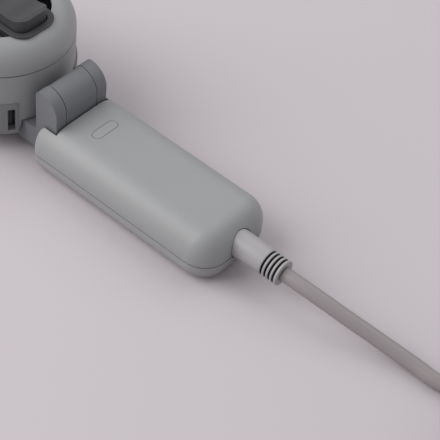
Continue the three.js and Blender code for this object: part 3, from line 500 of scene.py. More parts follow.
GRIP_WIDTH = 40.0
GRIP_HEIGHT = 22.0
GRIP_PARTING = 9.0
GRIP_EDGES = (6.0, 11.0)
CORD_CORNER = 11.0
HINGE_CORNER = 4.0
GRIP_START = -2.6
END_SHARES = (0.42, 0.85)
STANDOFF = 0.5
WALL = 1.8
SEAM_GAP = 0.5
LIP = (0.7, 0.9)
FAR = 200.0


def loft(rings):
    """A closed solid through rings of equal length, given in millimetres."""
    form = bmesh.new()
    placed = [[form.verts.new(at(*point)) for point in ring] for ring in rings]
    for lower, upper in zip(placed, placed[1:]):
        for k in range(len(lower)):
            n = (k + 1) % len(lower)
            form.faces.new((lower[k], lower[n], upper[n], upper[k]))
    form.faces.new(list(reversed(placed[0])))
    form.faces.new(placed[-1])
    return meshed("loft", form)


def edge_profile(low, high, low_edge, high_edge, steps=14):
    """Stations of an edge-rounded wall, each a height and an inset from the widest outline."""
    stations = []
    for k in range(steps + 1):
        a = math.pi / 2 * k / steps
        stations.append((low + low_edge * (1 - math.cos(a)), low_edge * (1 - math.sin(a))))
    for k in range(steps + 1):
        a = math.pi / 2 * k / steps
        stations.append((high - high_edge * (1 - math.sin(a)), high_edge * (1 - math.cos(a))))
    return stations


def grip_ring(inset, height, steps=12):
    """The grip's outline at one height, drawn in from its widest."""
    hinge = GRIP_START + inset * END_SHARES[0]
    cord = GRIP_LENGTH - inset * END_SHARES[1]
    side = GRIP_WIDTH / 2 - inset
    ring = []
    for quarter, (x, y, corner) in enumerate(
        (
            (cord, side, CORD_CORNER),
            (hinge, side, HINGE_CORNER),
            (hinge, -side, HINGE_CORNER),
            (cord, -side, CORD_CORNER),
        )
    ):
        radius = max(corner - inset, 0.8)
        middle_x = x - math.copysign(radius, x - GRIP_LENGTH / 2)
        middle_y = y - math.copysign(radius, y)
        for k in range(steps + 1):
            a = math.pi / 2 * (quarter + k / steps)
            ring.append((middle_x + radius * math.cos(a), middle_y + radius * math.sin(a), height))
    return ring


def grip_body(shrink):
    """The grip's solid form, drawn in all round by a wall or part of one."""
    low, high = STANDOFF + shrink, GRIP_HEIGHT - shrink
    edges = [edge - shrink for edge in GRIP_EDGES]
    return loft([grip_ring(inset + shrink, z) for z, inset in edge_profile(low, high, *edges)])


def block(low, high):
    """A plain block in millimetres, for cutting."""
    form = bmesh.new()
    bmesh.ops.create_cube(form, size=1)
    corners = (at(*low), at(*high))
    for vert in form.verts:
        vert.co = Vector(corners[vert.co[i] > 0][i] for i in range(3))
    return meshed("block", form)


def bar(axis, radius, start, end, centre, sides=40):
    """A plain round bar along an axis through a point in millimetres."""
    profile = [(start, 0), (start, radius), (end, radius), (end, 0)]
    return turned("bar", profile, at(*centre), axis, sides)


def prism(axis, outline, start, end, rim=0, segments=3):
    """A flat outline, carried along an axis, with its two rims rounded when a rim is given."""
    form = bmesh.new()
    ends = []
    for station in (start, end):
        ring = []
        for u, v in outline:
            place = {"x": (station, u, v), "y": (u, station, v), "z": (u, v, station)}[axis]
            ring.append(form.verts.new(at(*place)))
        ends.append(ring)
    for k in range(len(outline)):
        n = (k + 1) % len(outline)
        form.faces.new((ends[0][k], ends[0][n], ends[1][n], ends[1][k]))
    caps = [form.faces.new(ends[0]), form.faces.new(ends[1])]
    if rim:
        rims = [edge for cap in caps for edge in cap.edges]
        bmesh.ops.bevel(
            form, geom=rims, offset=rim * MM, segments=segments, profile=0.5, affect="EDGES"
        )
    return meshed("prism", form)


def round_rectangle(centre, size, radius, steps=8):
    """The outline of a rectangle with rounded corners."""
    outline = []
    for quarter, (sx, sy) in enumerate(((1, 1), (-1, 1), (-1, -1), (1, -1))):
        x = centre[0] + sx * (size[0] / 2 - radius)
        y = centre[1] + sy * (size[1] / 2 - radius)
        for k in range(steps + 1):
            a = math.pi / 2 * (quarter + k / steps)
            outline.append((x + radius * math.cos(a), y + radius * math.sin(a)))
    return outline


def settled(name, holder):
    """The mesh that a holder's modifiers give, with the holder removed."""
    bpy.context.view_layer.update()
    mesh = bpy.data.meshes.new_from_object(
        holder.evaluated_get(bpy.context.evaluated_depsgraph_get())
    )
    bpy.data.objects.remove(holder)
    mesh.name = name
    return mesh


def held(name, mesh):
    """An object in the scene that holds a mesh."""
    holder = bpy.data.objects.new(name, mesh)
    bpy.context.scene.collection.objects.link(holder)
    return holder


def carved(name, start, *steps, edge=0.0, segments=2, crease=38):
    """Cuts and joins solids in turn, and softens the edges that are left sharp when an edge width is
    given.
    """
    holder = held(name, start)
    tools = []
    for action, tool in steps:
        tools.append(held("tool", tool))
        cut = holder.modifiers.new(action, "BOOLEAN")
        cut.operation = action
        cut.solver = "EXACT"
        cut.object = tools[-1]
    if edge:
        soften = holder.modifiers.new("edge", "BEVEL")
        soften.width = edge * MM
        soften.segments = segments
        soften.limit_method = "ANGLE"
        soften.angle_limit = math.radians(crease)
        soften.miter_outer = "MITER_ARC"
    mesh = settled(name, holder)
    for tool in tools:
        bpy.data.objects.remove(tool)
    form = bmesh.new()
    form.from_mesh(mesh)
    bmesh.ops.remove_doubles(form, verts=form.verts, dist=0.002 * MM)
    bmesh.ops.dissolve_degenerate(form, edges=form.edges, dist=0.002 * MM)
    holder = held(name, meshed(name, form, crease))
    even = holder.modifiers.new("even", "WEIGHTED_NORMAL")
    even.keep_sharp = True
    return settled(name, holder)


CUT, JOIN, KEEP = "DIFFERENCE", "UNION", "INTERSECT"
NOTCH = (6.4, 14.9)
TONGUE = (6.3, 4.5, 14.3, 13.0)
SOCKET_HOLE = 6.1
END_SLOT = (3.8, 4.2, 5.1)
GRIP_SCREWS = ((80, 12.5), (80, -12.5))
SCREW_HEAD = 2.1
SCREW_SHANK = 1.1
GRIP_SEAT = 2.9
KEY_X = 18.2
KEY_SIZE = (4.2, 12.5)
GRIP_FEET = (("front", 26), ("rear", 68))
FOOT_SIZE = (5.0, 22.0)

hollow = carved(
    "grip_hollow",
    grip_body(WALL),
    (CUT, block((-FAR, -NOTCH[1] - WALL, -FAR), (NOTCH[0] + WALL, NOTCH[1] + WALL, FAR))),
    (CUT, block((-FAR, -FAR, -FAR), (9, FAR, FAR))),
)
grip_cuts = [
    (CUT, block((-FAR, -NOTCH[1], -FAR), (NOTCH[0], NOTCH[1], FAR))),
    (CUT, hollow),
    (CUT, block((0, -TONGUE[0], TONGUE[1]), (TONGUE[3], TONGUE[0], TONGUE[2]))),
    (CUT, bar("x", SOCKET_HOLE, 80, GRIP_LENGTH + 5, (0, 0, PLUG_AXIS), 64)),
    (CUT, block((80, -END_SLOT[0], END_SLOT[1]), (FAR, END_SLOT[0], END_SLOT[2]))),
]
for x, y in GRIP_SCREWS:
    post = carved("post", bar("z", 3.4, 1.5, 19, (x, y, 0)), (KEEP, grip_body(WALL / 2)))
    grip_cuts.append((JOIN, post))
    grip_cuts.append((CUT, bar("z", SCREW_HEAD + 0.2, -1, GRIP_SEAT, (x, y, 0))))
    grip_cuts.append((CUT, bar("z", SCREW_SHANK + 0.15, 0, 14, (x, y, 0))))
whole_grip = carved("whole_grip", grip_body(0), *grip_cuts)

shell_plastic = moulded("shell_plastic", (0.295, 0.297, 0.302), 0.46, 0.22, 0.012, 0.03)
key_hole = round_rectangle((KEY_X, 0), (KEY_SIZE[0] + 0.4, KEY_SIZE[1] + 0.4), 2.3, 10)
lip_top = GRIP_PARTING + SEAM_GAP / 2 + LIP[0]
upper_lip = carved(
    "upper_lip", grip_body(LIP[1]), (CUT, block((-FAR, -FAR, lip_top), (FAR, FAR, FAR)))
)
shown(
    "grip_top_shell",
    carved(
        "grip_top_shell",
        whole_grip,
        (KEEP, block((-FAR, -FAR, GRIP_PARTING + SEAM_GAP / 2), (FAR, FAR, FAR))),
        (CUT, upper_lip),
        (CUT, prism("z", key_hole, 17, 24)),
        edge=0.2,
    ),
    "grip",
    shell_plastic,
    "grip_upper_shell",
    slot="shell",
)
seam_low = GRIP_PARTING - SEAM_GAP / 2
lip_ring = carved(
    "lip_ring",
    whole_grip,
    (KEEP, grip_body(LIP[1] + 0.05)),
    (KEEP, block((-FAR, -FAR, seam_low - 1), (FAR, FAR, lip_top - 0.05))),
)
lower_steps = [
    (KEEP, block((-FAR, -FAR, -FAR), (FAR, FAR, seam_low))),
    (JOIN, lip_ring),
]
for _, x in GRIP_FEET:
    pocket = round_rectangle((x, 0), (FOOT_SIZE[0] + 0.2, FOOT_SIZE[1] + 0.2), 2.4)
    lower_steps.append((CUT, prism("z", pocket, -1, 1.2)))
shown(
    "grip_bottom_shell",
    carved("grip_bottom_shell", whole_grip, *lower_steps, edge=0.2),
    "grip",
    shell_plastic,
    "grip_lower_shell",
    slot="shell",
)


# ---- Grip's feet, key and screws ----
# The grip stands on two rubber strips. A flush pill-shaped key in its top works the switch on
# the board below, and two recessed screws hold the shells together from underneath.

foot_rubber = moulded("foot_rubber", (0.02, 0.02, 0.022), 0.7, 0.5, 0.05)
for name, x in GRIP_FEET:
    strip = prism("z", round_rectangle((x, 0), FOOT_SIZE, 2.4), 0, 1.1, rim=0.25)
    shown(f"foot_strip_{name}", strip, "grip", foot_rubber, f"grip_foot_{name}", slot="rubber")

key_plastic = moulded("key_plastic", (0.3, 0.302, 0.308), 0.44, 0.22, 0.012, 0.03)
cap_outline = round_rectangle((KEY_X, 0), KEY_SIZE, 2.05, 12)
key_cap = carved(
    "pill_key",
    prism("z", cap_outline, GRIP_HEIGHT - 1.7, GRIP_HEIGHT, rim=0.3, segments=4),
    (JOIN, bar("z", 1, 19.9, GRIP_HEIGHT - 1.5, (KEY_X, 0, 0))),
)
shown("pill_key", key_cap, "key", key_plastic, "mode_key", slot="shell")


def group_input(tree, name, kind, value=None):
    """Adds a named input to a node group, and gives the identifier that sets it."""
    made = tree.interface.new_socket(name, in_out="INPUT", socket_type=kind)
    if value is not None:
        made.default_value = value
    return made.identifier


screw_tree = bpy.data.node_groups.new("screws_at_points", "GeometryNodeTree")
screw_tree.interface.new_socket("Geometry", in_out="INPUT", socket_type="NodeSocketGeometry")
screw_input = group_input(screw_tree, "Screw", "NodeSocketObject")
screw_finish = group_input(screw_tree, "Finish", "NodeSocketMaterial")
screw_tree.interface.new_socket("Geometry", in_out="OUTPUT", socket_type="NodeSocketGeometry")
nodes, links = screw_tree.nodes, screw_tree.links
incoming = nodes.new("NodeGroupInput")
outgoing = nodes.new("NodeGroupOutput")
pick = nodes.new("GeometryNodeObjectInfo")
spread = nodes.new("GeometryNodeInstanceOnPoints")
real = nodes.new("GeometryNodeRealizeInstances")
paint = nodes.new("GeometryNodeSetMaterial")
links.new(incoming.outputs["Screw"], pick.inputs["Object"])
links.new(incoming.outputs["Geometry"], spread.inputs["Points"])
links.new(pick.outputs["Geometry"], spread.inputs["Instance"])
links.new(spread.outputs["Instances"], real.inputs["Geometry"])
links.new(real.outputs["Geometry"], paint.inputs["Geometry"])
links.new(incoming.outputs["Finish"], paint.inputs["Material"])
links.new(paint.outputs["Geometry"], outgoing.inputs["Geometry"])

screw_steel = moulded("screw_steel", (0.42, 0.42, 0.43), 0.32, 0.3, 0.004, 0.02, Metallic=1.0)


def screws(name, places, seat, end, body, *stands_for):
    """Cross-recessed screws at points, their heads down."""
    form = bmesh.new()
    profile = [(-1.5, 0), (-1.5, 1.5), (-1.1, SCREW_HEAD), (-0.05, SCREW_HEAD), (-0.05, SCREW_SHANK)]
    turns = int((end - seat) / 0.8)
    for k in range(turns):
        profile.append((0.2 + 0.8 * k, SCREW_SHANK - 0.2))
        profile.append((0.5 + 0.8 * k, SCREW_SHANK))
    profile += [(end - seat - 0.5, SCREW_SHANK - 0.25), (end - seat, 0)]
    blank = turned("blank", profile, Vector(), "z", 24)
    arm_low, arm_high = Vector((-1.35, -0.3, -2)) * MM, Vector((1.35, 0.3, -0.9)) * MM
    arms = []
    for flip in (False, True):
        arm = bmesh.new()
        bmesh.ops.create_cube(arm, size=1)
        for vert in arm.verts:
            place = Vector((arm_high if vert.co[i] > 0 else arm_low)[i] for i in range(3))
            vert.co = Vector((place.y, place.x, place.z)) if flip else place
        arms.append((CUT, meshed("arm", arm)))
    template = held("screw_template", carved("screw_template", blank, *arms))
    points = bpy.data.meshes.new("points")
    points.from_pydata([at(x, y, seat) for x, y in places], [], [])
    holder = held(name, points)
    repeat = holder.modifiers.new("screws", "NODES")
    repeat.node_group = screw_tree
    repeat[screw_input] = template
    repeat[screw_finish] = screw_steel
    mesh = settled(name, holder)
    bpy.data.objects.remove(template)
    return shown(name, mesh, body, screw_steel, *stands_for, slot="steel")


screws("grip_screws", GRIP_SCREWS, GRIP_SEAT, 13, "grip", "grip_screw_1", "grip_screw_2")


# ---- Grip's electrics ----
# Inside the grip lie a green control board with its key switch, two cells side by side with
# their contact plate, and the power socket that the plug enters.


def repainted(finish, *names):
    """Gives carried-over solids their material."""
    for name in names:
        solid = bpy.data.objects[name]
        solid.data.materials.clear()
        solid.data.materials.append(finish)


board_green = moulded("board_laminate", (0.015, 0.09, 0.045), 0.4, 0.6, 0.02, 0.15)
cell_wrap = moulded("cell_wrap", (0.05, 0.15, 0.34), 0.35, 0.8, 0.02)
moulding_black = moulded("black_moulding", (0.03, 0.03, 0.033), 0.45, 0.4, 0.02)
brass = moulded("brass", (0.55, 0.38, 0.13), 0.3, 0.4, 0.004, 0.03, Metallic=1.0)
repainted(board_green, "control_board")
repainted(cell_wrap, "battery_cell_left", "battery_cell_right")
repainted(nickel, "battery_contact", "key_switch", "plug_barrel")
repainted(moulding_black, "power_socket")


# ---- Hinge ----
# A knuckle fixed to the grip stands between the two ears of the head's yoke. A steel pin with a
# cap passes through all three, and a brass friction washer on each side holds the angle.

HINGE = (-0.2, 27.2)
CROWN = (-3.3, 8.8)
HINGE_RIGHT = 5.5
HINGE_LEFT = -5.9
KNUCKLE_HALF = 8.4
EAR = (8.7, 14.0)
EAR_BOTTOM = 4.2
NECK_TOP = 14.5
NECK_INSIDE = -24.0
PIN = (2.5, 12.6)
PIN_CAP = 3.6
WASHER = (4.5, 1.1)


def hinge_outline(left, right, bottom, corner, steps=10):
    """The side view of an ear or the knuckle: flat sides, square foot, arched crown."""
    turn = math.acos((left - CROWN[0] + corner) / (CROWN[1] - corner))
    outline = [(right, bottom + corner)]
    for k in range(3 * steps + 1):
        a = turn * k / (3 * steps)
        outline.append((CROWN[0] + CROWN[1] * math.cos(a), HINGE[1] + CROWN[1] * math.sin(a)))
    height = HINGE[1] + (CROWN[1] - corner) * math.sin(turn)
    corners = [(left + corner, height, turn, math.pi)]
    corners.append((left + corner, bottom + corner, math.pi, 1.5 * math.pi))
    corners.append((right - corner, bottom + corner, 1.5 * math.pi, 2 * math.pi))
    for x, z, start, stop in corners:
        for k in range(1, steps + 1):
            a = start + (stop - start) * k / steps
            outline.append((x + corner * math.cos(a), z + corner * math.sin(a)))
    return outline[:-1]


hinge_plastic = moulded("hinge_plastic", (0.16, 0.165, 0.178), 0.5, 0.22, 0.015, 0.04)
pin_place = (HINGE[0], 0, HINGE[1])
knuckle_steps = [
    (JOIN, block((HINGE_RIGHT - 1, -6, 4.8), (13, 6, 14))),
    (CUT, bar("y", PIN[0] + 0.12, -20, 20, pin_place, 48)),
]
for sign in (1, -1):
    faces = sorted((sign * (KNUCKLE_HALF - WASHER[1]), sign * (KNUCKLE_HALF + 1)))
    knuckle_steps.append((CUT, bar("y", WASHER[0] + 0.3, *faces, pin_place, 48)))
knuckle_outline = hinge_outline(HINGE_LEFT + 0.3, HINGE_RIGHT, EAR_BOTTOM, 3)
knuckle = shown(
    "hinge_barrel",
    carved(
        "hinge_barrel",
        prism("y", knuckle_outline, -KNUCKLE_HALF, KNUCKLE_HALF, rim=0.25),
        *knuckle_steps,
    ),
    "grip",
    hinge_plastic,
    "hinge_knuckle",
    slot="hinge",
)

ear_outline = hinge_outline(HINGE_LEFT, HINGE_RIGHT, EAR_BOTTOM, 3)
neck_outline = [(HINGE_LEFT + 2, EAR_BOTTOM + 0.2), (HINGE_LEFT + 2, NECK_TOP + 1.2)]
for k in range(1, 11):
    start, bend, end = (-3.9, 15.7), (-7.4, 14.3), (-9.9, 14.5)
    t = k / 10
    neck_outline.append(
        tuple(
            (1 - t) ** 2 * start[i] + 2 * t * (1 - t) * bend[i] + t * t * end[i] for i in range(2)
        )
    )
neck_outline += [(NECK_INSIDE, NECK_TOP), (NECK_INSIDE, EAR_BOTTOM + 0.2)]
neck = carved(
    "neck",
    prism("y", neck_outline, -13.5, 13.5),
    (CUT, block((HINGE_LEFT - 0.3, -10, -FAR), (FAR, 10, FAR))),
)
yoke_steps = [
    (JOIN, prism("y", ear_outline, EAR[0], EAR[1], rim=0.8, segments=5)),
    (JOIN, neck),
    (CUT, bar("y", PIN[0] + 0.1, -PIN[1] - 0.2, EAR[1] + 1, pin_place, 48)),
    (CUT, bar("y", PIN_CAP + 0.1, PIN[1] + 0.2, EAR[1] + 1, pin_place, 48)),
]
YOKE_SCREWS = ((-20, 8.5), (-20, -8.5))
for x, y in YOKE_SCREWS:
    yoke_steps.append((CUT, bar("z", SCREW_SHANK + 0.15, 0, NECK_TOP + 1, (x, y, 0))))
yoke = shown(
    "hinge_yoke",
    carved(
        "hinge_yoke", prism("y", ear_outline, -EAR[1], -EAR[0], rim=0.8, segments=5), *yoke_steps
    ),
    "head",
    hinge_plastic,
    "yoke",
    slot="hinge",
)
pin_profile = [(-PIN[1], 0), (-PIN[1], PIN[0]), (PIN[1], PIN[0]), (PIN[1], 0)]
pin_steel = turned("pin_rod", rounded(pin_profile, 0.4), at(*pin_place), "y")
shown("pin_rod", pin_steel, "head", screw_steel, "hinge_pin", slot="steel")
cap_profile = [(EAR[1] - 1, 0), (EAR[1] - 1, PIN_CAP), (EAR[1], PIN_CAP), (EAR[1], 0)]
cap_mesh = turned("pin_plug", rounded(cap_profile, 0.3), at(*pin_place), "y")
shown("pin_plug", cap_mesh, "head", hinge_plastic, "hinge_pin_cap", slot="hinge")
repainted(brass, "friction_washer_left", "friction_washer_right")


# ---- Head shells ----
# The head is an egg-shaped shell in two halves that thins towards the nose, where a flat face
# takes the collar. Openings let through the yoke's neck, the vents, the triggers and a wheel.

HEAD_X = -41.0
HEAD_RADIUS = 31.0
HEAD_HEIGHT = 50.0
HEAD_MIDDLE = 25.5
HEAD_PARTING = 38.2
HEAD_EDGES = (14.0, 10.0)
SNOUT = (-96.0, -100.0, 17.0, 0.66)
HEAD_WALL = 2.0
COLLAR_RADIUS = 16.0
SPIGOT = COLLAR_RADIUS - 1.8
VENT = (35.0, 13.5, 4, 8.7, 24.0)
HEAD_SCREWS = ((-60, 17), (-60, -17))
HEAD_SEAT = 4.6
YOKE_SEAT = 2.7
HEAD_FEET = (("left", 9), ("right", -9))
BEZEL = (-39.0, 44.0, 22.0)
DIAL = (-76.0, 38.6, 9.0, 3.0)


def tapered(x, height):
    """A height on the head, which thins towards its narrow end about its middle."""
    share = min(max((HEAD_X - x) / (HEAD_X - SNOUT[1]), 0), 1)
    return HEAD_MIDDLE + (height - HEAD_MIDDLE) * (1 - (1 - SNOUT[3]) * share)


def head_ring(inset, height):
    """The head's outline at one height: two arcs and the straight sides between them."""
    spread = math.acos((SNOUT[2] - HEAD_RADIUS) / (HEAD_X - SNOUT[0]))
    arcs = [(HEAD_X, HEAD_RADIUS, -spread, spread, 72)]
    arcs.append((SNOUT[0], SNOUT[2], spread, 2 * math.pi - spread, 28))
    ring = []
    for centre, radius, start, stop, steps in arcs:
        for k in range(steps + 1):
            a = start + (stop - start) * k / steps
            x = centre + (radius - inset) * math.cos(a)
            ring.append((x, (radius - inset) * math.sin(a), tapered(x, height)))
    return ring


def head_body(shrink):
    """The head's solid form, drawn in all round, with its flat nose end."""
    low, high = STANDOFF + shrink, HEAD_HEIGHT - shrink
    edges = [edge - shrink for edge in HEAD_EDGES]
    whole = loft([head_ring(inset + shrink, z) for z, inset in edge_profile(low, high, *edges, 12)])
    return carved("whole", whole, (CUT, block((-FAR, -FAR, -FAR), (SNOUT[1] + shrink, FAR, FAR))))


def wall_sector(sign, angles, radii, heights, steps=40):
    """Part of a ring round the head's big end, between two angles on one side."""
    arc = [math.radians(angles[0] + (angles[1] - angles[0]) * k / steps) for k in range(steps + 1)]
    outline = [(HEAD_X + radii[1] * math.cos(a), sign * radii[1] * math.sin(a)) for a in arc]
    arc.reverse()
    outline += [(HEAD_X + radii[0] * math.cos(a), sign * radii[0] * math.sin(a)) for a in arc]
    return prism("z", outline, *heights)


vent_angles = (VENT[0] - 5.2, VENT[0] + (VENT[2] - 1) * VENT[1] + 5.2)
window_angles = (vent_angles[0] + 1.5, vent_angles[1] - 1.5)
spigot_hole = bar("x", SPIGOT + 0.3, SNOUT[1] - 9, SNOUT[1] + 9, (0, 0, HEAD_MIDDLE), 72)
head_steps = [
    (CUT, head_body(HEAD_WALL)),
    (CUT, block((NECK_INSIDE - 1, -14.3, 3.9), (0, 14.3, 14.8))),
    (CUT, spigot_hole),
]
for sign in (1, -1):
    radii = (HEAD_RADIUS - 5, HEAD_RADIUS + 3)
    window = wall_sector(sign, window_angles, radii, (VENT[3] + 1, VENT[4] - 1))
    head_steps.append((CUT, window))
for x, y in HEAD_SCREWS:
    post = bar("z", SCREW_HEAD + 1.4, 1, HEAD_HEIGHT, (x, y, 0))
    head_steps.append((JOIN, carved("post", post, (KEEP, head_body(WALL / 2)), (CUT, spigot_hole))))
    head_steps.append((CUT, bar("z", SCREW_HEAD + 0.2, -1, HEAD_SEAT, (x, y, 0))))
    head_steps.append((CUT, bar("z", SCREW_SHANK + 0.15, 0, HEAD_PARTING + 4, (x, y, 0))))
for x, y in YOKE_SCREWS:
    boss = bar("z", SCREW_HEAD + 1.2, 1, 3.9, (x, y, 0))
    head_steps.append((JOIN, carved("boss", boss, (KEEP, head_body(WALL / 2)))))
    head_steps.append((CUT, bar("z", SCREW_HEAD + 0.2, -1, YOKE_SEAT, (x, y, 0))))
    head_steps.append((CUT, bar("z", SCREW_SHANK + 0.15, 0, EAR_BOTTOM + 1, (x, y, 0))))
whole_head = carved("whole_head", head_body(0), *head_steps)

bezel_hole = round_rectangle((BEZEL[0], 0), (BEZEL[1] - 3, BEZEL[2] - 3), 6)
dial_low = (DIAL[0] - DIAL[2] - 0.6, -DIAL[3] - 0.5, DIAL[1])
dial_high = (DIAL[0] + DIAL[2] + 0.6, DIAL[3] + 0.5, FAR)
seam_top = HEAD_PARTING + SEAM_GAP / 2
upper_steps = [
    (KEEP, block((-FAR, -FAR, seam_top), (FAR, FAR, FAR))),
    (CUT, prism("z", bezel_hole, 40, 60)),
    (CUT, block(dial_low, dial_high)),
]
for sign in (1, -1):
    sides = sorted((sign * (DIAL[3] + 0.5), sign * (DIAL[3] + 2.1)))
    bracket = block((DIAL[0] - 5, sides[0], DIAL[1] - 3.5), (DIAL[0] + 5, sides[1], 46.5))
    upper_steps.append((JOIN, carved("bracket", bracket, (KEEP, head_body(WALL / 2)))))
upper_steps.append((CUT, bar("y", 1.35, -10, 10, (DIAL[0], 0, DIAL[1]))))
shown(
    "head_top_shell",
    carved("head_top_shell", whole_head, *upper_steps, edge=0.2),
    "head",
    shell_plastic,
    "head_upper_shell",
    slot="shell",
)
lower_steps = [(KEEP, block((-FAR, -FAR, -FAR), (FAR, FAR, HEAD_PARTING - SEAM_GAP / 2)))]
for _, y in HEAD_FEET:
    lower_steps.append((CUT, bar("z", 3.1, -1, 1.2, (-40, y, 0))))
shown(
    "head_bottom_shell",
    carved("head_bottom_shell", whole_head, *lower_steps, edge=0.2),
    "head",
    shell_plastic,
    "head_lower_shell",
    slot="shell",
)
for name, y in HEAD_FEET:
    profile = rounded([(0, 0), (0, 3), (1.1, 3), (1.1, 0)], 0.25)
    dot = turned(f"foot_dot_{name}", profile, at(-40, y, 0), "z")
    shown(f"foot_dot_{name}", dot, "head", foot_rubber, f"head_foot_{name}", slot="rubber")
screws("head_screws", HEAD_SCREWS, HEAD_SEAT, HEAD_PARTING + 3.5, "head", "head_screw_1", "head_screw_2")
screws("yoke_screws", YOKE_SCREWS, YOKE_SEAT, 13.5, "head", "yoke_screw_1", "yoke_screw_2")


# ---- Vents ----
# On each side of the head a raised band clips into a window in the wall. Four upright slots
# in it let in the pump's air through a strip of dark open-cell foam.

vent_plastic = moulded("vent_plastic", (0.2, 0.2, 0.205), 0.5, 0.22, 0.012, 0.03)
foam = moulded("vent_foam", (0.07, 0.07, 0.068), 0.9, 0.9, 0.5, 0.6)
for side, sign in (("left", 1), ("right", -1)):
    ring = (HEAD_RADIUS + 0.05, HEAD_RADIUS + 0.7)
    plug_ring = (HEAD_RADIUS - 2.4, HEAD_RADIUS + 0.15)
    plug_angles = (window_angles[0] + 0.8, window_angles[1] - 0.8)
    plug_heights = (VENT[3] + 1.3, VENT[4] - 1.3)
    steps = [(JOIN, wall_sector(sign, plug_angles, plug_ring, plug_heights))]
    for k in range(VENT[2]):
        a = sign * math.radians(VENT[0] + VENT[1] * k)
        slot_form = bmesh.new()
        outline = round_rectangle((0, 0), (12, 3), 1.3)
        slot_form.from_mesh(prism("z", outline, VENT[3] + 2, VENT[4] - 2.4))
        place = Vector((HEAD_X + HEAD_RADIUS * math.cos(a), HEAD_RADIUS * math.sin(a), 0)) * MM
        spin = Matrix.Rotation(a, 4, "Z")
        origin = at(0, 0, 0)
        for vert in slot_form.verts:
            vert.co = origin + place + spin @ (vert.co - origin)
        steps.append((CUT, meshed("slot", slot_form)))
    band_form = bmesh.new()
    band_form.from_mesh(wall_sector(sign, vent_angles, ring, (VENT[3], VENT[4])))
    axis = at(HEAD_X, 0, 0)
    corners = []
    for edge in band_form.edges:
        middle = (edge.verts[0].co + edge.verts[1].co) / 2 - axis
        reach = math.hypot(middle.x, middle.y) / MM
        if abs(reach - sum(ring) / 2) < 0.1 and abs(edge.verts[0].co.z - edge.verts[1].co.z) < MM:
            corners.append(edge)
    bmesh.ops.bevel(
        band_form, geom=corners, offset=1.5 * MM, segments=5, profile=0.5, affect="EDGES"
    )
    band = meshed("band", band_form)
    band = carved(f"vent_grille_{side}", band, *steps, edge=0.2)
    shown(f"vent_grille_{side}", band, "head", vent_plastic, f"vent_band_{side}", slot="shell")
    repainted(foam, f"vent_foam_{side}")


# ---- Triggers, valves and speed wheel ----
# Two dished triggers, suction and blow-out, stand in a bezel on top of the head. Each presses
# a brass valve stem against a wound spring, and a knurled wheel behind them sets the speed.

TRIGGERS = (("suction", -28), ("blowout", -50))
TRIGGER_SIZE = 16.0
TRIGGER_SPAN = (43.5, 56.0)
SPRING = (2.4, 3.6, 37.1, 43.4)

trigger_plastic = moulded("trigger_plastic", (0.05, 0.05, 0.055), 0.42, 0.25, 0.02)
valve_silicone = moulded("valve_silicone", (0.62, 0.58, 0.5), 0.5, 0.8, 0.03)
spring_steel = moulded("spring_steel", (0.5, 0.5, 0.5), 0.3, 0.3, 0.003, 0.02, Metallic=1.0)

spring_tree = bpy.data.node_groups.new("wound_spring", "GeometryNodeTree")
spring_tree.interface.new_socket("Geometry", in_out="INPUT", socket_type="NodeSocketGeometry")
spring_turns = group_input(spring_tree, "Turns", "NodeSocketFloat", 5.0)
spring_radius = group_input(spring_tree, "Radius", "NodeSocketFloat", 0.003)
spring_height = group_input(spring_tree, "Height", "NodeSocketFloat", 0.005)
spring_wire = group_input(spring_tree, "Wire Radius", "NodeSocketFloat", 0.0004)
spring_base = group_input(spring_tree, "Base", "NodeSocketVector")
spring_finish = group_input(spring_tree, "Finish", "NodeSocketMaterial")
spring_tree.interface.new_socket("Geometry", in_out="OUTPUT", socket_type="NodeSocketGeometry")
nodes, links = spring_tree.nodes, spring_tree.links
incoming = nodes.new("NodeGroupInput")
outgoing = nodes.new("NodeGroupOutput")
spiral = nodes.new("GeometryNodeCurveSpiral")
wire = nodes.new("GeometryNodeCurvePrimitiveCircle")
sweep = nodes.new("GeometryNodeCurveToMesh")
lift = nodes.new("GeometryNodeTransform")
real = nodes.new("GeometryNodeRealizeInstances")
paint = nodes.new("GeometryNodeSetMaterial")
spiral.inputs["Resolution"].default_value = 40
wire.inputs["Resolution"].default_value = 10
sweep.inputs["Fill Caps"].default_value = True
links.new(incoming.outputs["Turns"], spiral.inputs["Rotations"])
links.new(incoming.outputs["Radius"], spiral.inputs["Start Radius"])
links.new(incoming.outputs["Radius"], spiral.inputs["End Radius"])
links.new(incoming.outputs["Height"], spiral.inputs["Height"])
links.new(incoming.outputs["Wire Radius"], wire.inputs["Radius"])
links.new(spiral.outputs["Curve"], sweep.inputs["Curve"])
links.new(wire.outputs["Curve"], sweep.inputs["Profile Curve"])
links.new(sweep.outputs["Mesh"], lift.inputs["Geometry"])
links.new(incoming.outputs["Base"], lift.inputs["Translation"])
links.new(lift.outputs["Geometry"], real.inputs["Geometry"])
links.new(real.outputs["Geometry"], paint.inputs["Geometry"])
links.new(incoming.outputs["Finish"], paint.inputs["Material"])
links.new(paint.outputs["Geometry"], outgoing.inputs["Geometry"])

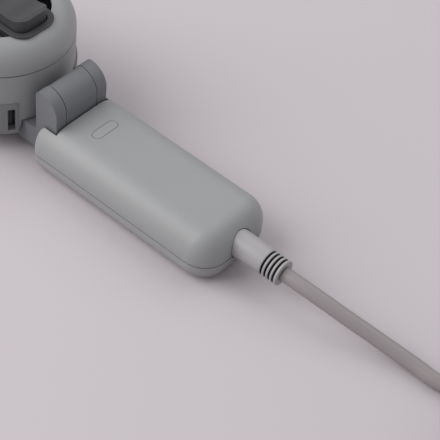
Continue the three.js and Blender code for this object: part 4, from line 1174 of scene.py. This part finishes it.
well_steps = []
for name, x in TRIGGERS:
    well = round_rectangle((x, 0), (TRIGGER_SIZE + 0.8, TRIGGER_SIZE + 0.8), 4.4)
    well_steps.append((CUT, prism("z", well, 30, 60)))
    cap_outline = round_rectangle((x, 0), (TRIGGER_SIZE, TRIGGER_SIZE), 4, 10)
    dish = bar("y", 14, -10, 10, (x, 0, TRIGGER_SPAN[1] + 12.6), 96)
    cap = carved(
        f"{name}_button",
        prism("z", cap_outline, *TRIGGER_SPAN, rim=0.9, segments=4),
        (CUT, dish),
        edge=0.15,
    )
    body = f"{name}_trigger"
    shown(f"{name}_button", cap, body, trigger_plastic, body, slot="trim")
    wire_radius = (SPRING[3] - SPRING[2]) * 0.09
    holder = held(f"{name}_coil", bpy.data.meshes.new("coil"))
    wind = holder.modifiers.new("wind", "NODES")
    wind.node_group = spring_tree
    wind[spring_turns] = 4.5
    wind[spring_radius] = (SPRING[0] + SPRING[1]) / 2 * MM
    wind[spring_height] = (SPRING[3] - SPRING[2] - 2 * wire_radius) * MM
    wind[spring_wire] = wire_radius * MM
    wind[spring_base] = at(x, 0, SPRING[2] + wire_radius)
    wind[spring_finish] = spring_steel
    coil = settled(f"{name}_coil", holder)
    for face in coil.polygons:
        face.use_smooth = True
    spring = shown(
        f"{name}_coil", coil, "head", spring_steel, f"{name}_spring", slot="steel"
    )
    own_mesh(spring)
    repainted(brass, f"{name}_valve_stem")

bezel_outline = round_rectangle((BEZEL[0], 0), BEZEL[1:], 7, 12)
inner_outline = round_rectangle((BEZEL[0], 0), (BEZEL[1] - 3.4, BEZEL[2] - 3.4), 6, 12)
bezel = carved(
    "trigger_surround",
    prism("z", bezel_outline, HEAD_HEIGHT + 0.05, HEAD_HEIGHT + 0.8),
    (JOIN, prism("z", inner_outline, HEAD_HEIGHT - 4, HEAD_HEIGHT + 0.2)),
    *well_steps,
    edge=0.2,
)
shown("trigger_surround", bezel, "head", trigger_plastic, "trigger_bezel", slot="trim")

KNURLS = 12
wheel_outline = []
for k in range(KNURLS * 10):
    a = 2 * math.pi * k / (KNURLS * 10)
    dip = max(0, math.cos(KNURLS * a)) ** 2 * 0.55
    wheel_outline.append(
        (DIAL[0] + (DIAL[2] - dip) * math.cos(a), DIAL[1] + (DIAL[2] - dip) * math.sin(a))
    )
wheel = carved(
    "speed_dial",
    prism("y", wheel_outline, -DIAL[3], DIAL[3], rim=0.4),
    (JOIN, bar("y", 1.25, -DIAL[3] - 1.9, DIAL[3] + 1.9, (DIAL[0], 0, DIAL[1]))),
)
shown("speed_dial", wheel, "speed_wheel", trigger_plastic, "speed_wheel", slot="trim")


# ---- Motor and pump ----
# A small canned motor turns an eccentric weight inside the diaphragm pump, and two silicone
# hoses join the pump to the valve block under the triggers.

repainted(spring_steel, "motor")
repainted(moulding_black, "pump_body")
repainted(brass, "motor_rotor")
repainted(valve_silicone, "suction_hose", "blowout_hose", "valve_block")


# ---- Nose ----
# A dark collar plugs into the head's flat end. On it the cone turns to open, over a membrane
# filter and the silicone socket whose bore grips the pipette.

SOCKET_BORE = 4.1
NOSE_TIP = -140.0
nose_centre = at(0, 0, HEAD_MIDDLE)
collar_profile = [
    (SNOUT[1] + 6, COLLAR_RADIUS - 4),
    (SNOUT[1] + 6, SPIGOT),
    (SNOUT[1] - 0.3, SPIGOT),
    (SNOUT[1] - 0.3, COLLAR_RADIUS),
    (SNOUT[1] - 9.2, COLLAR_RADIUS),
    (SNOUT[1] - 10, COLLAR_RADIUS - 0.8),
    (SNOUT[1] - 10, COLLAR_RADIUS - 4),
]
collar_mesh = turned("nose_ring", rounded(collar_profile, 0.2), nose_centre, sides=96, closed=True)
shown("nose_ring", collar_mesh, "head", hinge_plastic, "nose_collar", slot="hinge")

back = SNOUT[1] - 10.3
cone_profile = [
    (back + 6, COLLAR_RADIUS - 6),
    (back + 6, COLLAR_RADIUS - 4.3),
    (back, COLLAR_RADIUS - 4.3),
    (back, COLLAR_RADIUS - 0.4),
]
GRIP_RINGS = 5
for k in range(GRIP_RINGS):
    station = back - 1.2 - 1.2 * k
    cone_profile.append((station, COLLAR_RADIUS - 0.45 - 0.03 * k))
    cone_profile.append((station - 0.2, COLLAR_RADIUS - 0.8 - 0.03 * k))
    cone_profile.append((station - 0.6, COLLAR_RADIUS - 0.8 - 0.03 * k))
    cone_profile.append((station - 0.8, COLLAR_RADIUS - 0.48 - 0.06 * k))
cone_profile += [
    (back - 12, COLLAR_RADIUS - 2.4),
    (back - 20, COLLAR_RADIUS - 4.6),
    (NOSE_TIP + 1, COLLAR_RADIUS - 6),
    (NOSE_TIP, COLLAR_RADIUS - 7),
    (NOSE_TIP, 7.3),
    (back - 10, 7.3),
    (back - 9, COLLAR_RADIUS - 6),
]
cone_mesh = turned("nose_shell", rounded(cone_profile, 0.25), nose_centre, sides=96, closed=True)
shown("nose_shell", cone_mesh, "nose", shell_plastic, "nose_cone", slot="shell")

socket_profile = [
    (back - 9.5, SOCKET_BORE),
    (back - 9.5, 7),
    (NOSE_TIP - 0.3, 7),
    (NOSE_TIP - 0.3, 8.6),
    (NOSE_TIP - 3.2, 8.2),
    (NOSE_TIP - 4, 7.2),
    (NOSE_TIP - 4, SOCKET_BORE + 1),
    (NOSE_TIP - 2.8, SOCKET_BORE),
]
socket_mesh = turned(
    "pipette_grommet", rounded(socket_profile, 0.3), nose_centre, sides=72, closed=True
)
shown(
    "pipette_grommet", socket_mesh, "nose", valve_silicone, "pipette_socket", slot="silicone"
)
filter_paper = moulded("filter_paper", (0.75, 0.74, 0.7), 0.85, 0.5, 0.05)
repainted(filter_paper, "membrane_filter")
